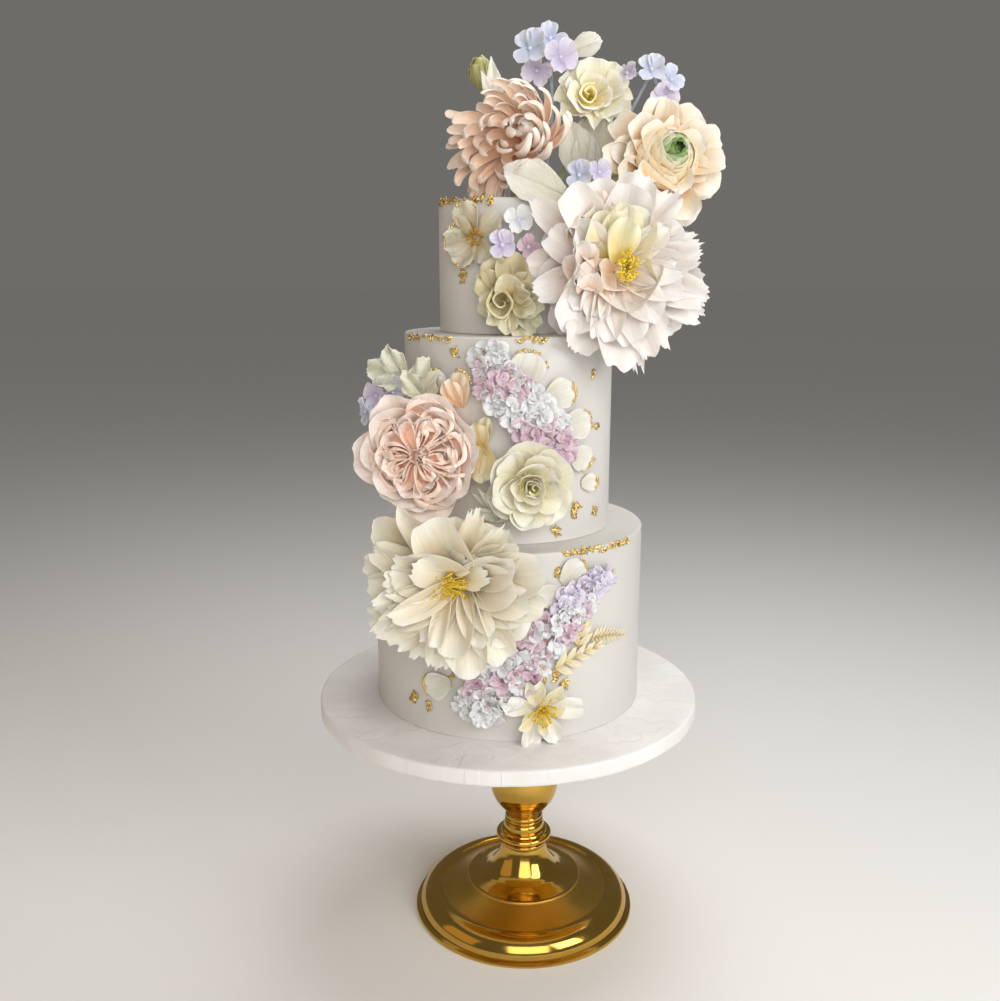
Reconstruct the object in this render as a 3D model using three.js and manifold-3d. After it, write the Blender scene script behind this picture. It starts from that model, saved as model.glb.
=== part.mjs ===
// A three-tier iced wedding cake dressed with sugar flowers, on an iced drum board and a turned metal
// stand. Millimetres, +Z up. The origin is on the ground, under the tiers' common axis. The front of the
// cake faces -Y.
//
// A flower grows in its own frame: the stalk comes up +Z through the receptacle at the origin, and the
// petals stand round it in whorls. It is then faced by an azimuth (0 looks out of the front, positive to the
// right, seen from the front) and an elevation, both in degrees, and put at its place on the cake.
import * as THREE from "three";
import { mergeVertices } from "three/addons/utils/BufferGeometryUtils.js";
import Module from "manifold-3d";

const wasm = await Module();
wasm.setup();
const { Manifold, Mesh: SolidMesh } = wasm;

// ---------------------------------------------------------------- driving dimensions
const gap = 0.3; // clearance between neighbouring pieces
const clear = 2 * gap; // the same, for cutters whose facets lie a little inside the true curve
const board = { radius: 155, bottom: 189, top: 201, edge: 1.5 };
const tiers = {
  bottom: { radius: 106.8, base: 201, top: 343.6 },
  middle: { radius: 80.3, base: 343.6, top: 494 },
  top: { radius: 52.9, base: 494, top: 590.4 },
};
const tierEdge = 1.6; // chamfer of the icing at a tier's upper edge
const tierSides = 48;
const boardSides = 56;
const standAxis = 14; // the stand is this far to the right of the middle of the board
const stand = { rim: 93, footTop: 57, stemTop: 181.5, neck: 15.4, plate: 122 };
const petalThickness = 1.5;
const flakeThickness = 2.6;
const floretThickness = 2.4;

// Colours of sugar, icing and metal.
const colours = {
  icing: 0xf4f1ec, gold: 0xc8963c, cream: 0xf1ead8, blush: 0xf6e9e0, peach: 0xf0c3a8,
  apricot: 0xf3d3a6, lemon: 0xe6e2ae, sage: 0xb9bb8c, lilac: 0xd3c3d8, sky: 0xcdd3ea,
};

// ---------------------------------------------------------------- helpers
const radians = THREE.MathUtils.degToRad;
const degrees = THREE.MathUtils.radToDeg;

// A repeatable number from -1 to 1 for each seed.
function wobble(seed) {
  const x = Math.sin(seed * 127.1 + 311.7) * 43758.5453;
  return 2 * (x - Math.floor(x)) - 1;
}

// A closed three.js geometry as a solid, with its faces turned outwards.
function solid(geometry) {
  const bare = geometry.index ? geometry.toNonIndexed() : geometry.clone();
  bare.deleteAttribute("normal");
  bare.deleteAttribute("uv");
  const merged = mergeVertices(bare, 1e-4);
  const make = (flip) => {
    const triangles = [];
    const corners = merged.index.array;
    for (let i = 0; i < corners.length; i += 3) {
      const [a, b, c] = [corners[i], corners[i + 1], corners[i + 2]];
      if (a !== b && b !== c && c !== a) triangles.push(a, flip ? c : b, flip ? b : c);
    }
    return new Manifold(new SolidMesh({
      numProp: 3, vertProperties: merged.attributes.position.array, triVerts: new Uint32Array(triangles),
    }));
  };
  const made = make(false);
  return made.volume() < 0 ? make(true) : made;
}

// A solid from plain lists of coordinates and of quads, each quad as its four corners.
function quadSolid(coordinates, quads) {
  const geometry = new THREE.BufferGeometry();
  geometry.setAttribute("position", new THREE.Float32BufferAttribute(coordinates, 3));
  geometry.setIndex(quads.flatMap(([a, b, c, d]) => [a, b, c, a, c, d]));
  return solid(geometry);
}

// A profile of [radius, height] points turned round the Z axis.
function turned(profile, sides) {
  const points = profile.map(([radius, height]) => new THREE.Vector2(radius, height));
  return solid(new THREE.LatheGeometry(points, sides).rotateX(Math.PI / 2));
}

// The points that round a bead or a rim, from angle a to angle b in degrees.
function bead(radius, height, size, a, b, steps) {
  return Array.from({ length: steps + 1 }, (_, i) => {
    const angle = radians(a + ((b - a) * i) / steps);
    return [radius + size * Math.cos(angle), height + size * Math.sin(angle)];
  });
}

// A thin closed sheet over surface(s, t), s from -1 to 1 across and t from 0 to 1 along.
function sheet(surface, across, along, thickness) {
  const coordinates = [];
  const step = 0.02;
  for (const side of [0.5, -0.5])
    for (let j = 0; j <= along; j++)
      for (let i = 0; i <= across; i++) {
        const s = -1 + (2 * i) / across;
        const t = j / along;
        const ds = surface(s + step, t).sub(surface(s - step, t));
        const dt = surface(s, Math.min(1, t + step)).sub(surface(s, Math.max(0, t - step)));
        const normal = ds.cross(dt).normalize();
        coordinates.push(...surface(s, t).addScaledVector(normal, side * thickness).toArray());
      }
  const row = across + 1;
  const back = row * (along + 1);
  const quads = [];
  for (let j = 0; j < along; j++)
    for (let i = 0; i < across; i++) {
      const a = j * row + i;
      quads.push([a, a + 1, a + row + 1, a + row]);
      quads.push([back + a, back + a + row, back + a + row + 1, back + a + 1]);
    }
  const rim = [];
  for (let i = 0; i < across; i++) rim.push(i);
  for (let j = 0; j < along; j++) rim.push(j * row + across);
  for (let i = across; i > 0; i--) rim.push(along * row + i);
  for (let j = along; j > 0; j--) rim.push(j * row);
  rim.forEach((a, k) => {
    const b = rim[(k + 1) % rim.length];
    quads.push([b, a, back + a, back + b]);
  });
  return quadSolid(coordinates, quads);
}

// A point on the arc of one petal, seen in the plane through the stalk: it leaves the receptacle at radius
// start and height lift, and leans from open[0] to open[1] degrees off the stalk over its length. off is a
// distance to the underside.
function petalArc({ start = 0, lift = 0, open, length, lean = 0 }, tau, off = 0) {
  const from = radians(open[0] + lean);
  const half = (radians(open[1] - open[0]) * tau) / 2 + 1e-9;
  const chord = (length * tau * Math.sin(half)) / half;
  return [
    start + chord * Math.sin(from + half) + off * Math.cos(from + 2 * half),
    lift + chord * Math.cos(from + half) - off * Math.sin(from + 2 * half),
  ];
}

// The petals of a whorl: where each one's middle is, in degrees round the stalk, its length and its own lean.
function petalsOf({ count, length, turn = 0 }, seed) {
  return Array.from({ length: count }, (_, i) => ({
    angle: turn + (360 / count) * (i + 0.5 + 0.18 * wobble(seed + 3 * i + 2)),
    length: length * (1 + 0.07 * wobble(seed + 3 * i + 1)),
    lean: (i % 2 ? 4 : -4) + 3 * wobble(seed + 3 * i),
  }));
}

// A whorl as one scalloped dish: the first column of each petal runs down the notch before it, and the
// others, as many as sides says, are spread over the petal. notch and shoulder are shares of its length.
function whorl(row, seed) {
  const { notch = 0.78, shoulder = 0.93, along = 2, thickness = 1.8, start = 3, lift = 0, sides = 3 } = row;
  const pair = (part) => [[-part, shoulder], [part, shoulder]];
  const spread = sides === 3 ? pair(0.55).toSpliced(1, 0, [0, 1]) : pair(0.4);
  const petals = petalsOf(row, seed);
  const columns = petals.flatMap((petal, i) => {
    const before = petals[(i + row.count - 1) % row.count];
    const halfway = (petal.angle - before.angle + (i ? 0 : 360)) / 2;
    const valley = {
      angle: petal.angle - halfway, length: (petal.length + before.length) / 2,
      lean: (petal.lean + before.lean) / 2, reach: notch,
    };
    const ribs = spread.map(([part, reach]) => ({ ...petal, angle: petal.angle + halfway * part, reach }));
    return [valley, ...ribs];
  });
  const coordinates = [];
  for (const off of [-thickness / 2, thickness / 2])
    for (let j = 0; j <= along; j++)
      for (const { angle, reach, length, lean } of columns) {
        const arc = { start, lift, open: row.open, length, lean };
        const [radius, height] = petalArc(arc, (j / along) * reach, off);
        coordinates.push(radius * Math.cos(radians(angle)), radius * Math.sin(radians(angle)), height);
      }
  const round = columns.length;
  const under = round * (along + 1);
  const tip = along * round;
  const quads = [];
  for (let i = 0; i < round; i++) {
    const next = (i + 1) % round;
    for (let j = 0; j < along; j++) {
      const [a, b, c, d] = [i + j * round, next + j * round, next + (j + 1) * round, i + (j + 1) * round];
      quads.push([a, b, c, d], [under + a, under + d, under + c, under + b]);
    }
    quads.push([under + i, under + next, next, i]);
    quads.push([tip + i, tip + next, under + tip + next, under + tip + i]);
  }
  return quadSolid(coordinates, quads);
}

// A flower's own frame put on the cake: its stalk towards the azimuth and elevation, turned by roll about it.
function placing({ at, face, roll = 0 }) {
  const azimuth = radians(face[0]);
  const elevation = radians(face[1]);
  const across = new THREE.Vector3(Math.cos(azimuth), Math.sin(azimuth), 0);
  const out = new THREE.Vector3(
    Math.sin(azimuth) * Math.cos(elevation), -Math.cos(azimuth) * Math.cos(elevation), Math.sin(elevation));
  const up = out.clone().cross(across);
  const turn = new THREE.Matrix4().makeRotationZ(radians(roll));
  return new THREE.Matrix4().makeBasis(across, up, out).setPosition(...at).multiply(turn);
}

// A low-sided ball, squashed along the stalk.
function ball(radius, height, lift = 0, sides = 8) {
  const shape = new THREE.SphereGeometry(radius, sides, sides / 2).rotateX(Math.PI / 2);
  return solid(shape.scale(1, 1, height / radius)).translate([0, 0, lift]);
}

// A straight-sided plate over an outline of corners points, whose radius the function reach(i) gives.
function plate(corners, reach, turnOf, low, high) {
  const outline = new THREE.Shape();
  for (let i = 0; i < corners; i++) {
    const angle = (2 * Math.PI * i) / corners + turnOf(i);
    outline[i ? "lineTo" : "moveTo"](reach(i) * Math.cos(angle), reach(i) * Math.sin(angle));
  }
  const shape = new THREE.ExtrudeGeometry(outline, { depth: high - low, bevelEnabled: false });
  return solid(shape.translate(0, 0, low));
}

// A wire through points on the cake, as a five-sided tube.
function wire(points, radius, steps = 6) {
  const sides = 5;
  const section = new THREE.Shape();
  for (let i = 0; i < sides; i++) {
    const angle = (2 * Math.PI * i) / sides;
    section[i ? "lineTo" : "moveTo"](radius * Math.cos(angle), radius * Math.sin(angle));
  }
  const path = new THREE.CatmullRomCurve3(points.map((p) => new THREE.Vector3(...p)));
  return solid(new THREE.ExtrudeGeometry(section, { steps, extrudePath: path, bevelEnabled: false }));
}

// The turned outline that holds a whole flower, a gap larger than its petals, for cutting its neighbours:
// tangent lines at even angles from straight down to straight up, and their crossings.
function envelope(body, steps = 7) {
  const mesh = body.getMesh();
  const tangents = Array.from({ length: steps }, (_, k) => {
    const angle = -Math.PI / 2 + (Math.PI * k) / (steps - 1);
    const [nr, nz] = [Math.cos(angle), Math.sin(angle)];
    let reach = -Infinity;
    for (let i = 0; i < mesh.numVert; i++) {
      const [x, y, z] = mesh.vertProperties.subarray(i * mesh.numProp, i * mesh.numProp + 3);
      reach = Math.max(reach, Math.hypot(x, y) * nr + z * nz);
    }
    return { nr, nz, reach: reach + clear };
  });
  const crossings = tangents.slice(1).map((b, k) => {
    const a = tangents[k];
    const area = a.nr * b.nz - b.nr * a.nz;
    return [(a.reach * b.nz - b.reach * a.nz) / area, (a.nr * b.reach - b.nr * a.reach) / area];
  });
  return [[0, -tangents[0].reach], ...crossings, [0, tangents[steps - 1].reach]];
}

const group = new THREE.Group();
const guards = []; // what later pieces are cut clear of

// The largest body of a solid as a named mesh of the group: loose scraps of a cut are dropped.
function add(name, body, color, roughness = 0.6, metalness = 0) {
  const [largest] = body.decompose().sort((a, b) => b.volume() - a.volume());
  const mesh = largest.getMesh();
  const geometry = new THREE.BufferGeometry();
  geometry.setAttribute("position", new THREE.BufferAttribute(new Float32Array(mesh.vertProperties), 3));
  geometry.setIndex(new THREE.BufferAttribute(new Uint32Array(mesh.triVerts), 1));
  const shown = new THREE.Mesh(geometry, new THREE.MeshStandardMaterial({ color, roughness, metalness }));
  shown.name = name;
  group.add(shown);
}

function boxesMeet(a, b) {
  return [0, 1, 2].every((k) => a.min[k] < b.max[k] && b.min[k] < a.max[k]);
}

// A piece with everything that stands before it cut away, and a guard left for what comes after.
function fit(name, body, guard, colour) {
  const cutters = guards.filter((other) => boxesMeet(body.boundingBox(), other.boundingBox()));
  add(name, cutters.reduce((left, other) => left.subtract(other), body), colour);
  guards.push(guard);
}

// ---------------------------------------------------------------- stand, board and tiers
function standPieces() {
  const { rim, footTop, stemTop, neck, plate: plateRadius } = stand;
  const foot = [
    [0, 0], [rim, 0], [rim, 3], [rim - 4, 4], ...bead(rim - 19, 4, 15, 0, 90, 3), [70, 17.5], [47.5, 28],
    [46, 30], [33.5, 34], [23, 44], [18.2, footTop], [0, footTop],
  ];
  const stem = [
    [0, footTop + gap], [18.2, footTop + gap], [20.5, 63], [23.6, 67], [21.5, 70], [neck + 1.8, 71.5],
    [neck + 1.6, 77], [neck, 79.2], [neck + 1, 82.5], [neck - 0.2, 85.6], [16.6, 89], [21.4, 94.5],
    [25.4, 101], [28.2, 109], [29, 118], [27, 128], [22.5, 138], [16.5, 147], [15, 154], [20, 165],
    [44, stemTop], [0, stemTop],
  ];
  const underside = [
    [0, stemTop + gap], [44, stemTop + gap], [plateRadius - 4, 184], [plateRadius, 186],
    [plateRadius - 1, board.bottom - gap], [0, board.bottom - gap],
  ];
  const pieces = { stand_foot: [foot, 30], stand_stem: [stem, 16], stand_plate: [underside, 32] };
  for (const [name, [profile, sides]] of Object.entries(pieces))
    add(name, turned(profile, sides).translate([standAxis, 0, 0]), colours.gold, 0.22, 1);
}

// The profile of a disc with a chamfered upper edge, grown by out all round.
function discProfile(radius, base, top, edge, out) {
  const [low, high, side] = [base - out, top + out, radius + out];
  return [[0, low], [side, low], [side, top - edge], [radius - edge, high], [0, high]];
}

function cakeBoard() {
  const { radius, bottom, top, edge } = board;
  const disc = (out) => turned(discProfile(radius, bottom, top, edge, out), boardSides);
  add("cake_board", disc(0), colours.icing, 0.55);
  guards.push(disc(gap));
}

// The point on a tier's wall at an azimuth in degrees and a height, moved out from the wall.
function onWall(tier, azimuth, height, out = 0) {
  const radius = tiers[tier].radius + out;
  return [radius * Math.sin(radians(azimuth)), -radius * Math.cos(radians(azimuth)), height];
}

// A crumpled flake of leaf metal, half sunk in the icing at a point and facing an azimuth and an elevation.
function flake(at, face, size, seed) {
  const reach = (i) => (size / 2) * (0.8 + 0.3 * wobble(seed + 7 + i));
  const shape = plate(4, reach, (i) => 0.5 * wobble(seed + i), -flakeThickness / 2, flakeThickness / 2);
  return shape.transform(placing({ at, face }).elements);
}

// Where leaf metal lies: single flakes on the walls as [azimuth, height, size], and runs along the upper
// rims as [first azimuth, last azimuth, flakes].
const leafMetal = {
  bottom: { flakes: [[43, 322, 8], [-36, 232, 7]], rims: [[24, 56, 5]] },
  middle: {
    flakes: [[-33, 478, 8], [47, 458, 7], [53, 424, 6], [33, 366, 8], [47, 366, 7]],
    rims: [[-66, -38, 4], [6, 18, 2]],
  },
  top: { flakes: [[-33, 533, 7]], rims: [[-70, -40, 4]] },
};

// The flakes of one tier, each grown by extra.
function flakesOn(tier, seed, extra) {
  const walls = leafMetal[tier].flakes.map(([azimuth, height, size], i) =>
    flake(onWall(tier, azimuth, height), [azimuth, 0], size + extra, seed + 11 * i));
  const rims = leafMetal[tier].rims.flatMap(([from, to, count], k) =>
    Array.from({ length: count }, (_, i) => {
      const azimuth = from + ((to - from) * i) / (count - 1);
      const own = seed + 200 * (k + 1) + 11 * i;
      const at = onWall(tier, azimuth, tiers[tier].top - 1.5 + wobble(own), -0.4);
      return flake(at, [azimuth, 35], 7.5 + 2 * wobble(own + 3) + extra, own);
    }));
  return [...walls, ...rims];
}

function icedTiers() {
  Object.entries(tiers).forEach(([tier, { radius, base, top }], order) => {
    const drum = (out) => turned(discProfile(radius, base + gap, top, tierEdge, out), tierSides);
    const whole = (out, extra) => Manifold.union([drum(out), ...flakesOn(tier, 1000 * order, extra)]);
    add(`tier_${tier}`, whole(0, 0), colours.icing, 0.6);
    guards.push(whole(gap, 4 * clear));
  });
}

// ---------------------------------------------------------------- sugar flowers
const bloomSides = 12; // sides of the outline that a flower keeps free

// Blooms in the order in which they claim their room, the largest first. stretch makes a flower taller.
const blooms = {
  peony_upper: {
    at: [73.5, -50, 540], face: [4, 2], stretch: 1.1, core: [14, 11, 3], seed: 11, colour: colours.blush,
    stalk: [[73, -44, 540], [60, -30, 556], [36, -10, 580], [30, -4, 592]],
    rows: [
      { count: 9, length: 71, open: [68, 92] },
      { count: 7, length: 60, open: [44, 74], turn: 20, sides: 2, along: 1 },
      { count: 5, length: 50, open: [14, 48], turn: 50, sides: 2, along: 1 },
    ],
  },
  peony_lower: {
    at: [-32, -112, 328], face: [-10, -3], stretch: 0.92, core: [15, 11, 3], seed: 211, colour: colours.cream,
    rows: [
      { count: 9, length: 71, open: [62, 88] },
      { count: 7, length: 60, open: [40, 72], turn: 15, sides: 2, along: 1 },
      { count: 5, length: 42, open: [16, 46], turn: 40, sides: 2, along: 1 },
    ],
  },
  rose_peach: {
    at: [-59, -66, 410], face: [-12, 4], core: [31, 22, 6], seed: 411, colour: colours.peach,
    rows: [
      { count: 7, length: 52, open: [74, 36], notch: 0.86, sides: 2 },
      { count: 8, length: 25, open: [42, 26], start: 13, lift: 13, along: 1, sides: 2, notch: 0.6 },
    ],
  },
  chrysanthemum: {
    at: [6, -14, 630], face: [-10, 14], core: [18, 16, 6], seed: 611, colour: colours.peach,
    stalk: [[6, -12, 628], [6, -8, 592]], stalkRadius: 5,
    rows: [
      { count: 10, length: 51, open: [84, 62], sides: 2 },
      { count: 7, length: 47, open: [50, 4], turn: 14, sides: 2, along: 1 },
    ],
  },
  ranunculus: {
    at: [109, -12, 614], face: [12, 8], core: [20, 15, 12], seed: 811, colour: colours.apricot,
    stalk: [[109, -6, 613], [84, 4, 610], [52, 6, 602], [34, 4, 592]], stalkRadius: 2.2,
    rows: [
      { count: 7, length: 48, open: [84, 62], notch: 0.82, sides: 2 },
      { count: 6, length: 38, open: [62, 26], notch: 0.82, turn: 24, sides: 2, along: 1 },
    ],
  },
  rose_lemon: {
    at: [13, -83.5, 390], face: [8, -3], core: [9, 7, 3, 6], seed: 1011, colour: colours.lemon,
    rows: [
      { count: 6, length: 31, open: [80, 66], sides: 2 },
      { count: 5, length: 24, open: [56, 34], turn: 30, sides: 2, along: 1 },
    ],
  },
  rose_small: {
    at: [1, -57, 520], face: [2, 4], core: [7, 5, 2, 6], seed: 1211, colour: colours.lemon,
    rows: [
      { count: 5, length: 26, open: [78, 56], sides: 2, along: 1 },
      { count: 3, length: 18, open: [46, 20], notch: 0.7, turn: 40, sides: 2, along: 1 },
    ],
  },
  blossom_lemon: {
    at: [62, 2, 664], face: [4, 22], core: [8, 6, 3, 6], seed: 1411, colour: colours.lemon,
    stalk: [[62, 5, 662], [48, 8, 630], [34, 8, 592]],
    rows: [
      { count: 6, length: 26, open: [76, 52], sides: 2, along: 1 },
      { count: 3, length: 18, open: [44, 14], notch: 0.7, turn: 30, sides: 2, along: 1 },
    ],
  },
  lily: {
    at: onWall("bottom", 11, 226, 2.5), face: [11, -4], core: [5, 4, 1, 6], seed: 1611, colour: colours.cream,
    rows: [{ count: 6, length: 25, open: [82, 70], sides: 2, along: 1, notch: 0.4 }],
  },
  blossom_pressed: {
    at: onWall("top", -26, 563, 1.5), face: [-26, 0], core: [5, 3, 1, 6], seed: 1811, colour: colours.cream,
    rows: [{ count: 5, length: 21, open: [84, 76], notch: 0.55, sides: 2, along: 1 }],
  },
};

// A whole flower from its whorls, a ball for its receptacle and, if it has one, a stalk back into the cake.
function bloom(name, spec) {
  const { seed, stretch = 1, stalk, stalkRadius = 1.8 } = spec;
  const petals = spec.rows.map((row, i) => whorl(row, seed + 40 * i));
  const body = Manifold.union([ball(...spec.core), ...petals]).scale([1, stretch, 1]);
  const matrix = placing(spec).elements;
  const spread = 1 / Math.cos(Math.PI / bloomSides);
  const outline = envelope(body).map(([radius, height]) => [radius * spread, height]);
  const withStalk = (flower, extra) =>
    Manifold.union([flower.transform(matrix), ...(stalk ? [wire(stalk, stalkRadius + extra)] : [])]);
  fit(name, withStalk(body, 0), withStalk(turned(outline, bloomSides), clear), spec.colour);
}

// A floret of four round petals, flat on its back and grown by extra: every petal starts with a notch.
function floret(size, seed, corners = 12, extra = 0) {
  const inPetal = corners / 4;
  const reach = (i) => extra + (size / 2) * (i % inPetal === 0 ? 0.5 : 1 + 0.12 * wobble(seed + i));
  return plate(corners, reach, () => 0, -extra, floretThickness + extra);
}

// Sprays of hydrangea: each floret is [x, y, z, azimuth, elevation, petal length], and the stem runs on from
// the first floret into the cake.
const sprays = {
  hydrangea_crown: {
    colour: colours.sky, stem: [[30, 6, 690], [32, 8, 640], [24, 8, 592]],
    florets: [
      [16, -2, 697, -20, 20, 15], [37, -6, 691, 14, 12, 14], [30, 1, 704, 5, 30, 13],
      [21, 4, 684, -5, -15, 12],
    ],
  },
  hydrangea_right: {
    colour: colours.sky, stem: [[100, 2, 672], [85, 9, 645], [64, 12, 618], [42, 11, 592]],
    florets: [
      [104, -6, 682, -5, 25, 12], [88, -2, 680, -40, 25, 9], [118, -3, 676, 25, 15, 11],
      [114, -5, 664, 10, -5, 12],
    ],
  },
  hydrangea_front: {
    colour: colours.sky, stem: [[54, -38, 606], [44, -24, 597], [36, -18, 592]],
    florets: [[50, -46, 605, -20, 15, 11], [63, -44, 607, 20, 15, 10]],
  },
  hydrangea_lilac: {
    colour: colours.lilac,
    florets: [[-5, -61.5, 557, -5, 4, 11], [6, -59, 574, 8, 12, 11]],
  },
  hydrangea_side: {
    colour: colours.sky,
    florets: [[-84, -52, 452, -30, 15, 13], [-97, -46, 449, -40, 5, 13], [-105, -42, 437, -60, -5, 11]],
  },
};

function spray(name, { colour, stem, florets }) {
  const whole = (extra) => {
    const heads = florets.map(([x, y, z, azimuth, elevation, petal], i) =>
      floret(2 * petal, 31 * i, 12, extra)
        .transform(placing({ at: [x, y, z], face: [azimuth, elevation], roll: 20 * i }).elements));
    const [first, ...others] = florets.map(([x, y, z]) => [x, y + 1, z]);
    const links = others.map((end) => wire([first, end], 2 + extra, 1));
    return Manifold.union([...heads, ...links, ...(stem ? [wire([first, ...stem], 1.8 + extra, 3)] : [])]);
  };
  fit(name, whole(0), whole(clear), colour);
}

// Drifts of pressed florets down a tier's wall, a low mound with florets on it. path holds [azimuth, height,
// half width], and slant is how far a step to the right also goes up.
const drifts = {
  drift_middle: {
    tier: "middle", florets: 8, size: 21, slant: 0.45, seed: 900, colour: colours.lilac,
    path: [[-11, 486, 9], [-4, 463, 15], [7, 444, 17], [20, 424, 15], [28, 406, 9]],
  },
  drift_bottom: {
    tier: "bottom", florets: 9, size: 22, slant: -0.45, seed: 1000, colour: colours.lilac,
    path: [[-14, 222, 15], [-5, 243, 17], [6, 264, 16], [17, 288, 14], [28, 308, 11], [36, 325, 8]],
  },
};

function drift(name, { tier, florets, size, slant, seed, path, colour }) {
  const spine = new THREE.CatmullRomCurve3(path.map((point) => new THREE.Vector3(...point)));
  const place = (t, side, out) => {
    const [azimuth, height, half] = spine.getPoint(t).toArray();
    const turn = azimuth + degrees((side * half) / tiers[tier].radius);
    return { turn, at: onWall(tier, turn, height + slant * side * half, out) };
  };
  const whole = (extra) => {
    const crown = (s, t) => new THREE.Vector3(...place(t, s, 1 + 2.5 * (1 - s * s)).at);
    const mound = sheet(crown, 2, 5, 6 + 2 * extra);
    const heads = Array.from({ length: florets }, (_, i) => {
      const aside = (i % 2 ? 0.6 : -0.6) + 0.2 * wobble(seed + 2 * i);
      const { turn, at } = place((i + 0.3) / (florets - 0.4), aside, 5);
      const face = [turn + 14 * wobble(seed + i), 14 * wobble(seed + 3 * i)];
      const matrix = placing({ at, face, roll: 90 * wobble(seed + 9 * i) }).elements;
      return floret(size, seed + i, 8, extra).transform(matrix);
    });
    return Manifold.union([mound, ...heads]);
  };
  fit(name, whole(0), whole(clear), colour);
}

// Single petals and leaves. Those with a tier lie on its wall: azimuth and height place the middle, aim is
// the way the tip points (0 right, 90 up) and lean is how they stand to the wall, 90 being flat on it. fall
// is how far they taper to the tip.
const wallPetals = {
  petal_gilt_1: { tier: "middle", azimuth: 9, height: 472, length: 25, width: 26, aim: 75, lean: 84 },
  petal_gilt_2: { tier: "middle", azimuth: 26, height: 454, length: 20, width: 21, aim: 20, lean: 80 },
  petal_gilt_3: { tier: "middle", azimuth: 36, height: 431, length: 20, width: 21, aim: 10, lean: 80 },
  petal_gilt_4: { tier: "middle", azimuth: 39, height: 406, length: 17, width: 18, aim: -25, lean: 82 },
  petal_gilt_5: { tier: "middle", azimuth: 27.5, height: 392, length: 14, width: 13, aim: -50, lean: 84 },
  petal_gilt_6: { tier: "middle", azimuth: 46, height: 386, length: 13, width: 14, aim: 10, lean: 82 },
  petal_cream_side: { tier: "middle", azimuth: -37, height: 460, length: 22, width: 18, aim: 100, lean: 78 },
  petal_peach_side: { tier: "middle", azimuth: -24, height: 458, length: 28, width: 18, aim: 80, lean: 74 },
  petal_straw: { tier: "middle", azimuth: -12, height: 428, length: 24, width: 13, aim: 78, lean: 74 },
  petal_rim_1: { tier: "bottom", azimuth: 25, height: 328, length: 22, width: 22, aim: 40, lean: 84 },
  petal_rim_2: { tier: "bottom", azimuth: 15, height: 313, length: 18, width: 18, aim: 200, lean: 82 },
  petal_low: { tier: "bottom", azimuth: -29, height: 240, length: 22, width: 22, aim: 200, lean: 84 },
  petal_under: { tier: "bottom", azimuth: -15, height: 264, length: 26, width: 22, aim: 250, lean: 84 },
  leaf_gilt: { tier: "bottom", azimuth: 26, height: 262, length: 36, width: 14, aim: 20, lean: 82, fall: 0.9 },
  leaf_plume: { tier: "bottom", azimuth: 29, height: 283, length: 24, width: 12, aim: 76, lean: 82 },
  fern_gilt: { tier: "bottom", azimuth: 42.4, height: 272.5, length: 36, width: 14, aim: -8, lean: 84 },
  leaf_lance_1: { tier: "middle", azimuth: -10, height: 374, length: 34, width: 9, aim: 140, lean: 74 },
  leaf_lance_2: { tier: "middle", azimuth: 1, height: 366, length: 28, width: 8, aim: 200, lean: 78 },
};
// Those without a tier grow from a point towards a facing.
const freeLeaves = {
  leaf_ruffled_left: {
    at: [-76, -52, 462], face: [-30, 20], length: 36, width: 26, aim: 168, lean: 74, ruffle: 3,
  },
  leaf_ruffled_right: {
    at: [-62, -62, 450], face: [-20, 10], length: 32, width: 25, aim: 88, lean: 76, ruffle: 1,
  },
  leaf_veined_back: { at: [58, 6, 606], face: [0, 0], length: 54, width: 40, aim: 78, lean: 84 },
  leaf_veined_left: { at: [38, -48, 592], face: [-4, 10], length: 48, width: 32, aim: 158, lean: 88 },
  leaf_crown: { at: [46, 6, 697], face: [0, 10], length: 26, width: 19, aim: 22, lean: 84 },
  petal_upright: { at: [-8, -2, 655], face: [-10, 10], length: 40, width: 15, aim: 98, lean: 80, fall: 0.8 },
};

// The surface of a single petal or leaf: its midline is an arc that bends by 6 degrees either side of lean.
// The width swells to its broadest two thirds along and falls by the share fall to the tip, the outline is
// rounded off by round, the sides curl up by cup, and ruffle waves the outer part.
function petalSurface({ length, width, lean, start = 0, fall = 0.3, ruffle = 0 }) {
  const [neck, peak, round, cup, bend] = [0.35, 0.65, 0.25, radians(22), 6];
  const arc = { start, open: [lean - bend, lean + bend], length };
  return (s, t) => {
    const tau = t * (1 - round * Math.abs(s) ** 2.2);
    const [radius, height] = petalArc(arc, tau);
    const swell = neck + (1 - neck) * Math.sin((Math.PI / 2) * Math.min(1, tau / peak));
    const taper = 1 - fall * Math.max(0, (tau - peak) / (1 - peak)) ** 2;
    const half = (width / 2) * swell * taper;
    const aside = (half * Math.sin(s * cup)) / cup;
    const inward = (half * (1 - Math.cos(s * cup))) / cup + ruffle * tau * tau * Math.sin(2 * Math.PI * s);
    const angle = radians(lean - bend + 2 * bend * tau);
    return new THREE.Vector3(radius - Math.cos(angle) * inward, aside, height + Math.sin(angle) * inward);
  };
}

// The root and the facing of a petal whose middle lies on a tier's wall.
function wallPlace({ tier, azimuth, height, length, aim }) {
  const aside = degrees((length * Math.cos(radians(aim))) / 2 / tiers[tier].radius);
  const rise = (length * Math.sin(radians(aim))) / 2;
  return { at: onWall(tier, azimuth - aside, height - rise, 1), face: [azimuth, 0] };
}

function singlePetal(name, spec, colour) {
  const { at, face } = spec.tier ? wallPlace(spec) : spec;
  const matrix = placing({ at, face, roll: spec.aim }).elements;
  const body = sheet(petalSurface(spec), 2, 3, petalThickness).transform(matrix);
  const larger = { ...spec, start: -clear, length: spec.length + 3 * clear, width: spec.width + 4 * clear };
  const guard = sheet(petalSurface(larger), 2, 3, petalThickness + 4 * clear).transform(matrix);
  fit(name, body, guard, colour);
}

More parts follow.
